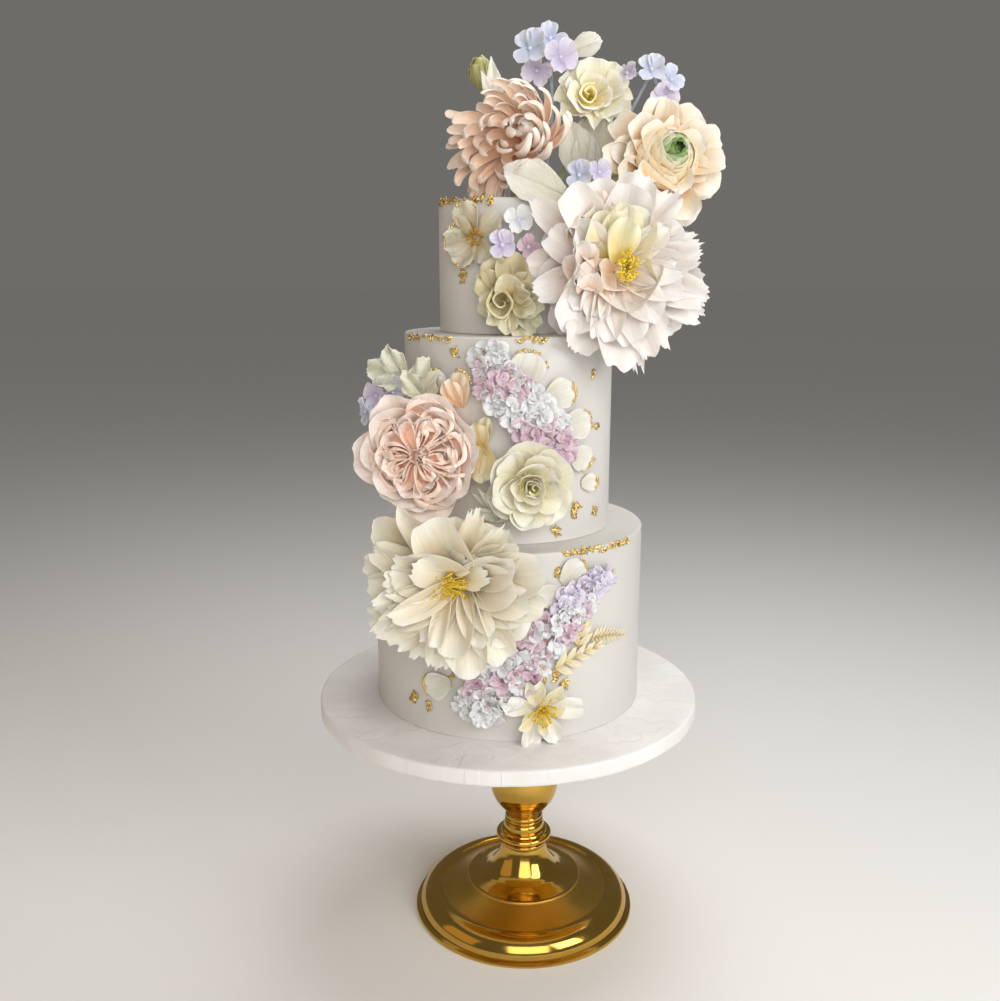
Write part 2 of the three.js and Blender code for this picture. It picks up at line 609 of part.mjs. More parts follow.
function oliveBud() {
  const matrix = placing({ at: [-20, 8, 684], face: [-30, 60] }).elements;
  const stem = (extra) => wire([[-20, 8, 680], [-14, 8, 640], [-8, 6, 592]], 1.6 + extra, 3);
  const whole = (extra) => Manifold.union([ball(9 + extra, 15 + extra, 0, 8).transform(matrix), stem(extra)]);
  fit("bud_olive", whole(0), whole(clear), colours.sage);
}

standPieces();
cakeBoard();
icedTiers();
for (const [name, spec] of Object.entries(blooms)) bloom(name, spec);
oliveBud();
for (const [name, spec] of Object.entries(wallPetals)) singlePetal(name, spec, colours.cream);
for (const [name, spec] of Object.entries(freeLeaves)) singlePetal(name, spec, colours.cream);
for (const [name, spec] of Object.entries(sprays)) spray(name, spec);
for (const [name, spec] of Object.entries(drifts)) drift(name, spec);

export default group;
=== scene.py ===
# A three-tier wedding cake with sugar flowers on a gold stand: its looks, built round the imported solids.
# Lengths are in millimetres and angles in degrees, and newPiece makes metres of them. The front faces -Y.
import bpy
import numpy as np
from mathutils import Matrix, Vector


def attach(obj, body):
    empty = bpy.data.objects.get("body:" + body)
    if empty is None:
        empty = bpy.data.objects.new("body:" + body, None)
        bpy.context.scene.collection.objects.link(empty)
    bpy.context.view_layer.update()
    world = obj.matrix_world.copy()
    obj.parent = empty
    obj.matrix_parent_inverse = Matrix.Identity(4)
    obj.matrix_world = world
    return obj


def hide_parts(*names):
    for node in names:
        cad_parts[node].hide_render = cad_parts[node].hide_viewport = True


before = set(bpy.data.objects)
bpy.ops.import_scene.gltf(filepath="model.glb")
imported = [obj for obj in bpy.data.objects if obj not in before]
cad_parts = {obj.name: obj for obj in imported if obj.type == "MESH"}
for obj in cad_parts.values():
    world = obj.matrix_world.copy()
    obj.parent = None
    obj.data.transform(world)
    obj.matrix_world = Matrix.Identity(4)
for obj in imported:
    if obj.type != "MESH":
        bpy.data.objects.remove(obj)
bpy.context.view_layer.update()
metres = 0.001
up = np.array([0.0, 0.0, 1.0])

cake = {
    "bottom": {"radius": 106.8, "base": 201.3, "top": 343.6},
    "middle": {"radius": 80.3, "base": 343.9, "top": 494.0},
    "top": {"radius": 52.9, "base": 494.3, "top": 590.4},
}


# numbers, colours and places
def wobble(seed):  # a repeatable number from -1 to 1 for each seed: the fraction of a large sine
    x = np.sin(np.asarray(seed, float) * 127.1 + 311.7) * 43758.5453
    return 2 * (x - np.floor(x)) - 1


# The root colour is partly the paste's own deeper tone and partly painted shade, and the rim colour is partly
# the paler thin paste and partly a painted highlight.
def tones(body, heart, edge):  # the three colours of a petal: over its face, at its root and at its rim
    return {"body": body, "heart": heart, "edge": edge}


def linear(code):  # a colour code such as "f4f1ec" as linear red, green and blue
    value = np.array([int(code[i:i + 2], 16) for i in (0, 2, 4)]) / 255
    return np.where(value <= 0.04045, value / 12.92, ((value + 0.055) / 1.055) ** 2.4)


def mixed(a, b, share):  # share of the way from colour a to colour b
    share = np.clip(share, 0, 1)[..., None]
    return a * (1 - share) + b * share


def turned(x, y, angle):  # x and y turned about the origin
    return x * np.cos(angle) - y * np.sin(angle), x * np.sin(angle) + y * np.cos(angle)


def placed(points, at=(0, 0, 0), face=(0, 0), roll=0, stretch=1):
    # turned about Z by roll and stretched along Y, then faced to an azimuth and elevation and moved to at
    azimuth, elevation, turn = np.radians([face[0], face[1], roll])
    x, y = turned(points[..., 0], points[..., 1], turn)
    across = np.array([np.cos(azimuth), np.sin(azimuth), 0])
    level = np.array([np.sin(azimuth), -np.cos(azimuth), 0])
    out = level * np.cos(elevation) + up * np.sin(elevation)
    rise = np.cross(out, across)
    return x[..., None] * across + y[..., None] * stretch * rise + points[..., 2:] * out + np.array(at)


def onWall(tier, azimuth, height, out=0):  # points on a tier's wall, moved out from it
    radius = cake[tier]["radius"] + out
    angle = np.radians(azimuth)
    return np.stack(np.broadcast_arrays(radius * np.sin(angle), -radius * np.cos(angle), height), -1)


def smoothPath(points, steps=8):  # a Catmull-Rom curve through the points, with steps samples a span
    p = np.asarray(points, float)
    p = np.vstack([2 * p[0] - p[1], p, 2 * p[-1] - p[-2]])
    t = np.linspace(0, 1, steps, endpoint=False)[:, None]
    spans = [
        0.5 * (2 * b + (c - a) * t + (2 * a - 5 * b + 4 * c - d) * t**2 + (3 * b - a - 3 * c + d) * t**3)
        for a, b, c, d in zip(p, p[1:], p[2:], p[3:])
    ]
    return np.vstack(spans + [p[-2:-1]])


# meshes: a part holds points, faces, a tint for each point and a UV place for each point
def part(points, faces, tint, uv=None):
    points = points.reshape(-1, 3)
    tint = np.broadcast_to(tint, points.shape) if np.ndim(tint) == 1 else tint.reshape(-1, 3)
    uv = np.zeros((len(points), 2)) if uv is None else uv.reshape(-1, 2)
    return {"points": points, "faces": faces, "tint": tint, "uv": uv}


def gridFaces(rows, columns, closed=False):  # the four corners of each cell of a grid of points
    i = np.arange(rows - 1)[:, None] * columns
    j = np.arange(columns if closed else columns - 1)
    k = (j + 1) % columns
    return np.stack([i + j, i + k, i + k + columns, i + j + columns], -1).reshape(-1, 4)


def copies(faces, count, size):  # the faces of one shape for count shapes of size points each
    shift = np.arange(count)[:, None, None] * size
    return np.where(faces[None] < 0, -1, faces[None] + shift).reshape(-1, 4)


def shells(grids, thickness, tints, uvs):
    # thin closed sheets over grids of points: both faces half the thickness off the grid along its normal,
    # thinning to a third at the rim that joins them
    count, rows, columns = grids.shape[:3]
    normal = np.cross(np.gradient(grids, axis=2), np.gradient(grids, axis=1))
    normal /= np.linalg.norm(normal, axis=-1, keepdims=True) + 1e-9
    s = np.abs(np.linspace(-1, 1, columns))
    t = np.linspace(0, 1, rows)[:, None]
    half = 0.5 * thickness * (1 - 0.67 * np.maximum(s**6, t**8))[..., None]
    points = np.stack([grids + normal * half, grids - normal * half], 1)
    one = gridFaces(rows, columns)
    size = rows * columns
    places = np.arange(size).reshape(rows, columns)
    rim = np.concatenate([places[0, :-1], places[:-1, -1], places[-1, :0:-1], places[:0:-1, 0]])
    after = np.roll(rim, -1)
    edge = np.stack([rim, rim + size, after + size, after], -1)
    faces = np.vstack([one, one[:, ::-1] + size, edge])
    return part(points, copies(faces, count, 2 * size), np.stack([tints, tints], 1), np.stack([uvs, uvs], 1))


def capped(rings, sides):  # faces of a closed skin: rings of points between a first and a last pole
    body = gridFaces(rings, sides, closed=True) + 1
    k = np.arange(sides)
    after = (k + 1) % sides
    none = np.full(sides, -1)
    first = np.stack([after + 1, k + 1, 0 * k, none], -1)
    end = 1 + (rings - 1) * sides
    last = np.stack([k + end, after + end, 0 * k + end + sides, none], -1)
    return np.vstack([body, first, last])


def revolved(profile, sides, tint, centre=(0, 0), uneven=None):
    # a profile of radius and height from the axis up and back to it, turned round a vertical axis; uneven
    # gives a small change of radius at each angle and height
    turn = np.linspace(0, 2 * np.pi, sides, endpoint=False)
    radius, height = profile[1:-1, :1], profile[1:-1, 1:]
    if uneven:
        radius = radius + uneven(turn, height)
    skin = np.stack([radius * np.cos(turn), radius * np.sin(turn), height + 0 * turn], -1).reshape(-1, 3)
    points = np.vstack([[0, 0, profile[0, 1]], skin, [0, 0, profile[-1, 1]]]) + [*centre, 0]
    return part(points, capped(len(profile) - 2, sides), tint)


def tubes(paths, radius, tint, sides=6):
    # round tubes along paths, an array of paths by points by 3, with radius along the path and closed ends
    paths = np.asarray(paths, float)
    count, steps = paths.shape[:2]
    run = np.gradient(paths, axis=1)
    run /= np.linalg.norm(run, axis=-1, keepdims=True) + 1e-9
    aside = np.cross(run, np.where(np.abs(run[..., 2:]) > 0.9, [1.0, 0, 0], [0, 0, 1.0]))
    aside /= np.linalg.norm(aside, axis=-1, keepdims=True) + 1e-9
    rise = np.cross(aside, run)
    turn = np.linspace(0, 2 * np.pi, sides, endpoint=False)[:, None]
    thick = np.broadcast_to(radius, (count, steps))[..., None, None]
    rings = paths[:, :, None] + thick * (np.cos(turn) * aside[:, :, None] + np.sin(turn) * rise[:, :, None])
    skin = [paths[:, :1], rings.reshape(count, -1, 3), paths[:, -1:]]
    points = np.concatenate(skin, 1)
    faces = capped(steps, sides)[:, ::-1]
    faces = np.where(faces[:, :1] < 0, np.roll(faces, -1, 1), faces)
    return part(points, copies(faces, count, points.shape[1]), tint)


def balls(centres, radius, tint, sides=8, rings=5, squash=1):  # small round beads at centres
    centres = np.asarray(centres, float)
    radius = np.broadcast_to(radius, len(centres))[:, None, None]
    tilt = np.linspace(-np.pi / 2, np.pi / 2, rings + 2)[1:-1]
    turn = np.linspace(0, 2 * np.pi, sides, endpoint=False)
    flat = np.cos(tilt)[:, None]
    skin = np.stack([flat * np.cos(turn), flat * np.sin(turn), np.sin(tilt)[:, None] + 0 * turn], -1)
    unit = np.vstack([[0, 0, -1], skin.reshape(-1, 3), [0, 0, 1]]) * [1, 1, squash]
    points = centres[:, None] + unit * radius
    tint = np.repeat(tint, len(unit), 0) if np.ndim(tint) == 2 else tint
    return part(points, copies(capped(rings, sides), len(centres), len(unit)), tint)


def newPiece(name, parts, material, slot, stands=(), sharp=0):
    # one mesh from all the parts, in metres, riding on the cake and standing for the named solids
    starts = np.cumsum([0] + [len(p["points"]) for p in parts])
    points = np.vstack([p["points"] for p in parts]) * metres
    faces = np.vstack([np.where(p["faces"] < 0, -1, p["faces"] + start) for p, start in zip(parts, starts)])
    tint = np.vstack([p["tint"] for p in parts])
    uv = np.vstack([p["uv"] for p in parts])
    corners = faces[faces >= 0]
    sizes = (faces >= 0).sum(1)
    mesh = bpy.data.meshes.new(name)
    mesh.vertices.add(len(points))
    mesh.vertices.foreach_set("co", points.ravel())
    mesh.loops.add(len(corners))
    mesh.loops.foreach_set("vertex_index", corners)
    mesh.polygons.add(len(faces))
    mesh.polygons.foreach_set("loop_start", np.cumsum(sizes) - sizes)
    mesh.update(calc_edges=True)
    mesh.polygons.foreach_set("use_smooth", np.ones(len(faces), bool))
    if sharp:
        mesh.set_sharp_from_angle(angle=np.radians(sharp))
    colours = mesh.color_attributes.new("tint", "FLOAT_COLOR", "POINT")
    colours.data.foreach_set("color", np.hstack([tint, np.ones((len(tint), 1))]).ravel())
    mesh.uv_layers.new(name="UVMap").data.foreach_set("uv", uv[corners].ravel())
    mesh.materials.append(material)
    piece = bpy.data.objects.new(name, mesh)
    bpy.context.scene.collection.objects.link(piece)
    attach(piece, "root")
    if stands:
        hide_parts(*stands)
    return piece


# studio: camera, floor and lights
studio = {
    "lens": 37.34, "sensor": 36, "cameraAt": (-6.5, -815.0, 539.7), "pitch": 12.5, "farthest": 60000,
    "floorSize": 60000, "floor": "f6f5f3", "backdrop": "6e6c69", "backdropStrength": 1.0,
}
lights = {  # place, aim, width, height, watts, colour
    "key": ((1000, -900, 900), (0, 0, 380), 700, 900, 9.5, "fffefc"),
    "front": ((120, -1500, 900), (0, 0, 400), 1200, 1200, 11.5, "fffdfb"),
    "fill": ((-1150, -400, 600), (0, 0, 380), 900, 900, 1.2, "ffcf8a"),
    "top": ((250, 300, 1500), (0, 0, 400), 900, 900, 9.0, "fffefc"),
    "day": ((100, -300, 2000), (0, 0, 0), 0, 50, 0.03, "fffefc"),
}


def setCamera():  # on a level line to the cake, pitched down
    camera = bpy.data.objects.new("camera", bpy.data.cameras.new("camera"))
    camera.data.lens = studio["lens"]
    camera.data.sensor_width = studio["sensor"]
    camera.data.clip_end = studio["farthest"] * metres
    camera.location = Vector(studio["cameraAt"]) * metres
    camera.rotation_euler = (np.radians(90 - studio["pitch"]), 0, 0)
    bpy.context.scene.collection.objects.link(camera)
    bpy.context.scene.camera = camera


def addLight(name, place, aim, width, height, watts, colour):  # without a width it is the even daylight
    data = bpy.data.lights.new(name, "AREA" if width else "SUN")
    data.energy = watts
    if width:
        data.shape = "RECTANGLE"
        data.size, data.size_y = width * metres, height * metres
    else:
        data.angle = np.radians(height)
    data.color = linear(colour)
    light = bpy.data.objects.new(name, data)
    light.location = Vector(place) * metres
    light.rotation_euler = (Vector(aim) - Vector(place)).to_track_quat("-Z", "Y").to_euler()
    bpy.context.scene.collection.objects.link(light)


def addNode(tree, kind, values, **settings):
    # a shader node with its settings, and each input set to a value or linked to a socket
    made = tree.nodes.new("ShaderNode" + kind)
    for name, value in settings.items():
        setattr(made, name, value)
    for socket, value in values.items():
        if isinstance(value, bpy.types.NodeSocket):
            tree.links.new(value, made.inputs[socket])
        else:
            made.inputs[socket].default_value = value
    return made


def newMaterial(name, values):  # a material and its tree, with the shader's own sockets set to values
    material = bpy.data.materials.new(name)
    material.use_nodes = True
    shader = material.node_tree.nodes["Principled BSDF"]
    for socket, value in values.items():
        shader.inputs[socket].default_value = value
    return material, material.node_tree, shader


def setStudio():  # an even grey surround, the lights, and a pale floor
    world = bpy.data.worlds.new("world")
    world.use_nodes = True
    background = world.node_tree.nodes["Background"]
    background.inputs["Color"].default_value = (*linear(studio["backdrop"]), 1)
    background.inputs["Strength"].default_value = studio["backdropStrength"]
    bpy.context.scene.world = world
    for name, light in lights.items():
        addLight(name, *light)
    half = studio["floorSize"] * metres / 2
    mesh = bpy.data.meshes.new("floor")
    corners = [(-half, -half, 0), (half, -half, 0), (half, half, 0), (-half, half, 0)]
    mesh.from_pydata(corners, [], [(0, 1, 2, 3)])
    material, tree, shader = newMaterial("floor_paper", {"Roughness": 0.9})
    shader.inputs["Base Color"].default_value = (*linear(studio["floor"]), 1)
    mesh.materials.append(material)
    floor = bpy.data.objects.new("floor", mesh)
    bpy.context.scene.collection.objects.link(floor)


setCamera()
setStudio()
bpy.context.scene.view_settings.view_transform = "Standard"
print("studio ready")


# materials
def objectNoise(tree, scale, detail=3, stretch=(1, 1, 1)):  # noise in the piece's own metres
    place = addNode(tree, "TexCoord", {}).outputs["Object"]
    place = addNode(tree, "Mapping", {"Vector": place, "Scale": stretch}).outputs["Vector"]
    return addNode(tree, "TexNoise", {"Vector": place, "Scale": scale, "Detail": detail}).outputs["Fac"]


def ranged(tree, value, low, high, fromLow=0.3, fromHigh=0.7):  # value brought into low to high
    limits = {"Value": value, "From Min": fromLow, "From Max": fromHigh, "To Min": low, "To Max": high}
    return addNode(tree, "MapRange", limits).outputs["Result"]


def combined(tree, a, b, operation):  # two values added or multiplied
    return addNode(tree, "Math", {0: a, 1: b}, operation=operation).outputs[0]


def carried(tree, name, output):  # what each point of the mesh carries under a name
    return addNode(tree, "Attribute", {}, attribute_name=name).outputs[output]


def finish(tree, shader, shades, height, relief, rough=None):
    # the tint of each point, lighter or darker by the shades in turn, a bump from height by relief's
    # strength and depth, and the roughness where it varies
    colour = carried(tree, "tint", "Color")
    for shade in shades:
        colour = addNode(tree, "VectorMath", {0: colour, "Scale": shade}, operation="SCALE").outputs["Vector"]
    tree.links.new(colour, shader.inputs["Base Color"])
    bump = addNode(tree, "Bump", {"Height": height, "Strength": relief[0], "Distance": relief[1]})
    tree.links.new(bump.outputs["Normal"], shader.inputs["Normal"])
    if rough:
        tree.links.new(rough, shader.inputs["Roughness"])


paste = {  # for all petals: the stretch of the veins, the blotches' scale and shades, grain and bump depth
    "sockets": {"Subsurface Scale": 0.001, "Subsurface Radius": (1.0, 0.9, 0.8), "Specular IOR Level": 0.3},
    "stretch": (1, 0.06, 1), "blotch": 70, "shades": (0.96, 1.03), "grain": (900, 2), "depth": 0.0006,
}
sugarLooks = {  # roughness, share of light that passes inside, scale and shade of the veins, and relief
    "petal_blush": (0.55, 0.5, 0.55, 0.05, 0.25), "petal_ivory": (0.52, 0.5, 0.5, 0.06, 0.3),
    "petal_peach": (0.6, 0.2, 0.7, 0.07, 0.25), "petal_apricot": (0.5, 0.5, 0.5, 0.05, 0.2),
    "petal_lemon": (0.55, 0.5, 0.6, 0.06, 0.25), "petal_cream": (0.55, 0.5, 0.7, 0.08, 0.4),
    "leaf_sage": (0.55, 0.5, 0.9, 0.08, 0.5), "petal_sky": (0.55, 0.5, 0.9, 0.06, 0.3),
    "petal_lilac": (0.5, 0.5, 1.2, 0.06, 0.4),
}


def sugarMaterial(name, roughness, glow, veinScale, veinShade, relief):
    # sugar paste: fine veins that run from root to tip along the UV map, and soft blotches
    own = {"Roughness": roughness, "Subsurface Weight": glow}
    material, tree, shader = newMaterial(name, {**paste["sockets"], **own})
    place = addNode(tree, "UVMap", {}, uv_map="UVMap").outputs["UV"]
    place = addNode(tree, "Mapping", {"Vector": place, "Scale": paste["stretch"]}).outputs["Vector"]
    veins = addNode(tree, "TexNoise", {"Vector": place, "Scale": veinScale, "Detail": 4}).outputs["Fac"]
    lines = ranged(tree, veins, 1 - veinShade, 1 + 0.3 * veinShade)
    blotches = ranged(tree, objectNoise(tree, paste["blotch"]), *paste["shades"])
    height = combined(tree, veins, objectNoise(tree, *paste["grain"]), "ADD")
    finish(tree, shader, [lines, blotches], height, (relief, paste["depth"]))
    return material


coatLooks = {
    # Cloud, grain and creases are noises by scale, detail and stretch. Shade and rough are low and high
    # over the cloud, fold is where a crease starts and ends, and relief is the bump's strength and depth.
    "icing_smooth": {  # satin sugar paste with a faint cloudiness
        "sockets": {"Subsurface Weight": 0.08, "Subsurface Scale": 0.002,
                    "Subsurface Radius": (1.0, 0.9, 0.8), "Specular IOR Level": 0.4},
        "cloud": (14,), "shade": (0.975, 1.01), "rough": (0.4, 0.5), "grain": (1200, 2),
        "relief": (0.12, 0.0002),
    },
    "board_paste": {  # rolled paste with faint upright creases
        "sockets": {"Subsurface Weight": 0.08, "Subsurface Scale": 0.003},
        "cloud": (22, 5), "shade": (0.93, 1.01), "rough": (0.42, 0.6), "creases": (60, 6, (1, 1, 0.25)),
        "fold": (0.47, 0.5), "relief": (0.7, 0.0008),
    },
    "stand_gold": {  # polished metal with faint turning marks, satin where its points say so
        "sockets": {"Metallic": 1.0}, "satin": "satin", "cloud": (35, 4), "shade": (0.93, 1.04),
        "rough": (0.09, 0.15), "grain": (900, 2, (0.02, 0.02, 1)), "relief": (0.03, 0.0002),
    },
    "gold_leaf": {  # crumpled leaf
        "sockets": {"Metallic": 1.0}, "cloud": (700,), "shade": (0.7, 1.1), "rough": (0.18, 0.4),
        "relief": (0.6, 0.0006),
    },
}


def newCoat(name, look):
    # a cloud shades and roughens the surface; the bump is the cloud, a grain, or creases times the cloud
    material, tree, shader = newMaterial(name, look["sockets"])
    cloud = objectNoise(tree, *look["cloud"])
    height = objectNoise(tree, *look["grain"]) if "grain" in look else cloud
    if "creases" in look:
        folds = ranged(tree, objectNoise(tree, *look["creases"]), 0, 1, *look["fold"])
        height = combined(tree, folds, cloud, "MULTIPLY")
    rough = ranged(tree, cloud, *look["rough"])
    if "satin" in look:
        rough = combined(tree, carried(tree, look["satin"], "Fac"), rough, "ADD")
    finish(tree, shader, [ranged(tree, cloud, *look["shade"])], height, look["relief"], rough)
    return material


def sugarPiece(name, parts, slot, stands=(), sharp=0):  # a piece in the paste of its slot
    newPiece(name, parts, sugar[slot], slot, stands, sharp)


sugar = {slot: sugarMaterial(f"sugar_{slot}", *look) for slot, look in sugarLooks.items()}
coats = {name: newCoat(name, look) for name, look in coatLooks.items()}
crisp = {"icing": 50, "metal": 40, "petal": 55}  # edges that bend by more than this stay crisp
print("materials ready")

# tiers, board and stand
iced = {"sides": 256, "edge": 1.6, "uneven": 0.22, "rows": 40, "tint": "dbd9d4"}
drum = {
    "radius": 154.6, "bottom": 189, "top": 201, "edge": 2.2, "uneven": 0.35, "sides": 320, "tint": "f5f3f1",
}
stand = {  # bulge is an arc; satin is a roughness added between two radii, above a height
    "axis": (14, 0), "sides": 192, "tint": "cda54e", "bulge": (74.4, 3.8, 15.2, 0, 92, 18),
    "satin": {"inner": 47.6, "outer": 71, "above": 17, "roughness": 0.2},
    "foot": [
        [(0, 0), (93, 0)], [(93, 0), (93.4, 1.4), (93, 2.8)], [(93, 2.8), (89.4, 3.8)],
        "bulge", [(73.4, 19), (72, 18.5), (71, 17.6), (70, 17.5)], [(70, 17.5), (59, 21.6), (48.6, 26.8)],
        [(48.6, 26.8), (48.2, 28.1), (47.2, 28.5), (46.2, 28.1)], [(46.2, 28.1), (39, 30.1), (33, 33)],
        [(33, 33), (27.6, 37.6), (22.4, 45.2), (19.6, 52), (18.2, 57)], [(18.2, 57), (0, 57)],
    ],
    "stem": [
        [(0, 57.3), (18.4, 57.3)], [(18.4, 57.3), (19.6, 58.6), (19.4, 60.4), (18.4, 61.4)],
        [(18.4, 61.4), (21.4, 62.4), (23.4, 64.6), (23.6, 66.8), (22.4, 68.6), (19.6, 69.4)],
        [(19.6, 69.4), (18.9, 70.6), (17.6, 71.2), (16.8, 71.4)],
        [(16.8, 71.4), (17.2, 73), (17.1, 75.6), (16.2, 77.8), (14.9, 78.8)],
        [(14.9, 78.8), (15.8, 79.6), (16.3, 80.8), (15.4, 82)],
        [(15.4, 82), (16, 83), (15.8, 84.4), (14.8, 85.4)],
        [(14.8, 85.4), (16.4, 88.6), (20.4, 93.4), (24.4, 98.8), (27.2, 105), (28.6, 111), (29, 117.4),
         (27.4, 127)],
        [(27.4, 127), (22.8, 137.4), (16.8, 146)],
        [(16.8, 146), (15, 150), (15, 156), (18, 163), (27, 172), (44, 181.5)], [(44, 181.5), (0, 181.5)],
    ],
    "plate": [
        [(0, 181.8), (44, 181.8)], [(44, 181.8), (80, 182.4), (116, 183.8)],
        [(116, 183.8), (120.6, 184.6), (122, 186), (121.4, 187.8), (120, 188.7)], [(120, 188.7), (0, 188.7)],
    ],
}


def arc(radius, height, size, first, last, steps):  # points of a rounded edge in a profile
    angle = np.radians(np.linspace(first, last, steps))
    return np.stack([radius + size * np.cos(angle), height + size * np.sin(angle)], -1)


def profileOf(sections):  # sections joined: straight between two points, smooth through more, or the bulge
    drawn = []
    for section in sections:
        if section == "bulge":
            drawn.append(arc(*stand["bulge"]))
        elif len(section) == 2:
            drawn.append(np.linspace(section[0], section[1], 6))
        else:
            drawn.append(smoothPath(section, 6))
    line = np.vstack([d[:-1] for d in drawn[:-1]] + [drawn[-1]])
    return line[np.r_[True, np.linalg.norm(np.diff(line, axis=0), axis=1) > 1e-6]]


def icedTier(tier):
    # an upright drum with a rounded upper edge, whose wall bulges and dips a little with angle and height
    radius, base, top = cake[tier].values()
    edge, rows = iced["edge"], iced["rows"]
    wall = np.stack([np.full(rows, radius), np.linspace(base, top - edge, rows)], -1)
    corner = arc(radius - edge, top - edge, edge, 0, 90, 7)[1:]
    lid = np.stack([np.linspace(radius - edge, 0, 14)[1:], np.full(13, top)], -1)
    profile = np.vstack([[0, base], wall, corner, lid])

    def uneven(turn, height):  # slow waves round the wall, which fade at its base and top
        wave = np.sin(3 * turn + 0.02 * height + radius) + 0.6 * np.sin(7 * turn - 0.05 * height)
        return iced["uneven"] * 0.6 * wave * np.sin(np.pi * (height - base) / (top - base))

    drawn = revolved(profile, iced["sides"], linear(iced["tint"]), uneven=uneven)
    newPiece(f"icing_{tier}", [drawn], coats["icing_smooth"], "icing", [f"tier_{tier}"], crisp["icing"])


def icedBoard():  # a disc with a soft edge and a slightly wavy side
    radius, bottom, top, edge = drum["radius"], drum["bottom"], drum["top"], drum["edge"]
    side = np.stack([np.full(6, radius), np.linspace(bottom + 1, top - edge, 6)], -1)
    lid = np.stack([np.linspace(radius - edge, 0, 24)[1:], np.full(23, top)], -1)
    corners = arc(radius - edge, top - edge, edge, 0, 90, 7)[1:]
    profile = np.vstack([[0, bottom], [radius - 1, bottom], side, corners, lid])

    def uneven(turn, height):  # short waves round the side, none on the lid
        wave = np.sin(11 * turn + 1) + np.sin(23 * turn + 2.2) + 0.8 * np.sin(41 * turn)
        return drum["uneven"] * 0.35 * wave * (height < top - 0.01)

    drawn = revolved(profile, drum["sides"], linear(drum["tint"]), uneven=uneven)
    newPiece("board_paste", [drawn], coats["board_paste"], "board_icing", ["cake_board"], crisp["icing"])


def goldStand():  # turned metal, with the satin of each point as an attribute
    satin = stand["satin"]
    for name in ("foot", "stem", "plate"):
        drawn = revolved(profileOf(stand[name]), stand["sides"], linear(stand["tint"]), stand["axis"])
        own = f"gold_{name}", [drawn], coats["stand_gold"], "stand_metal", [f"stand_{name}"]
        piece = newPiece(*own, crisp["metal"])
        x, y, z = drawn["points"].T
        radius = np.hypot(x - stand["axis"][0], y)
        dull = (radius > satin["inner"]) & (radius < satin["outer"]) & (z > satin["above"])
        layer = piece.data.attributes.new("satin", "FLOAT", "POINT")
        layer.data.foreach_set("value", np.where(dull, satin["roughness"], 0.0))


for tier in cake:
    icedTier(tier)
icedBoard()
goldStand()
print("cake, board and stand ready")

# petals
petal = {  # what every petal starts from
    "width": 40, "neck": 0.35, "peak": 0.6, "fall": 0.1, "round": 0.45, "tip": 0, "cup": 40, "curl": 0,
    "ruffle": 1.2, "waves": 2.5, "notch": 0, "teeth": 0, "dent": 0.8, "start": 3, "lift": 0, "turn": 0,
    "arc": (0, 360), "shift": (0, 0), "thick": 0.7, "rows": 16, "columns": 17, "heartAndShadeShare": 0.75,
    "edgeAndHighlightShare": 0.75, "twist": 0, "sweep": 0, "luck": 1, "veins": 0, "ribs": 9, "margin": 0.05,
}


def ring(count, length, width, first, last, **more):  # a ring of petals that lean from first to last
    return {"count": count, "length": length, "width": width, "open": (first, last), **more}


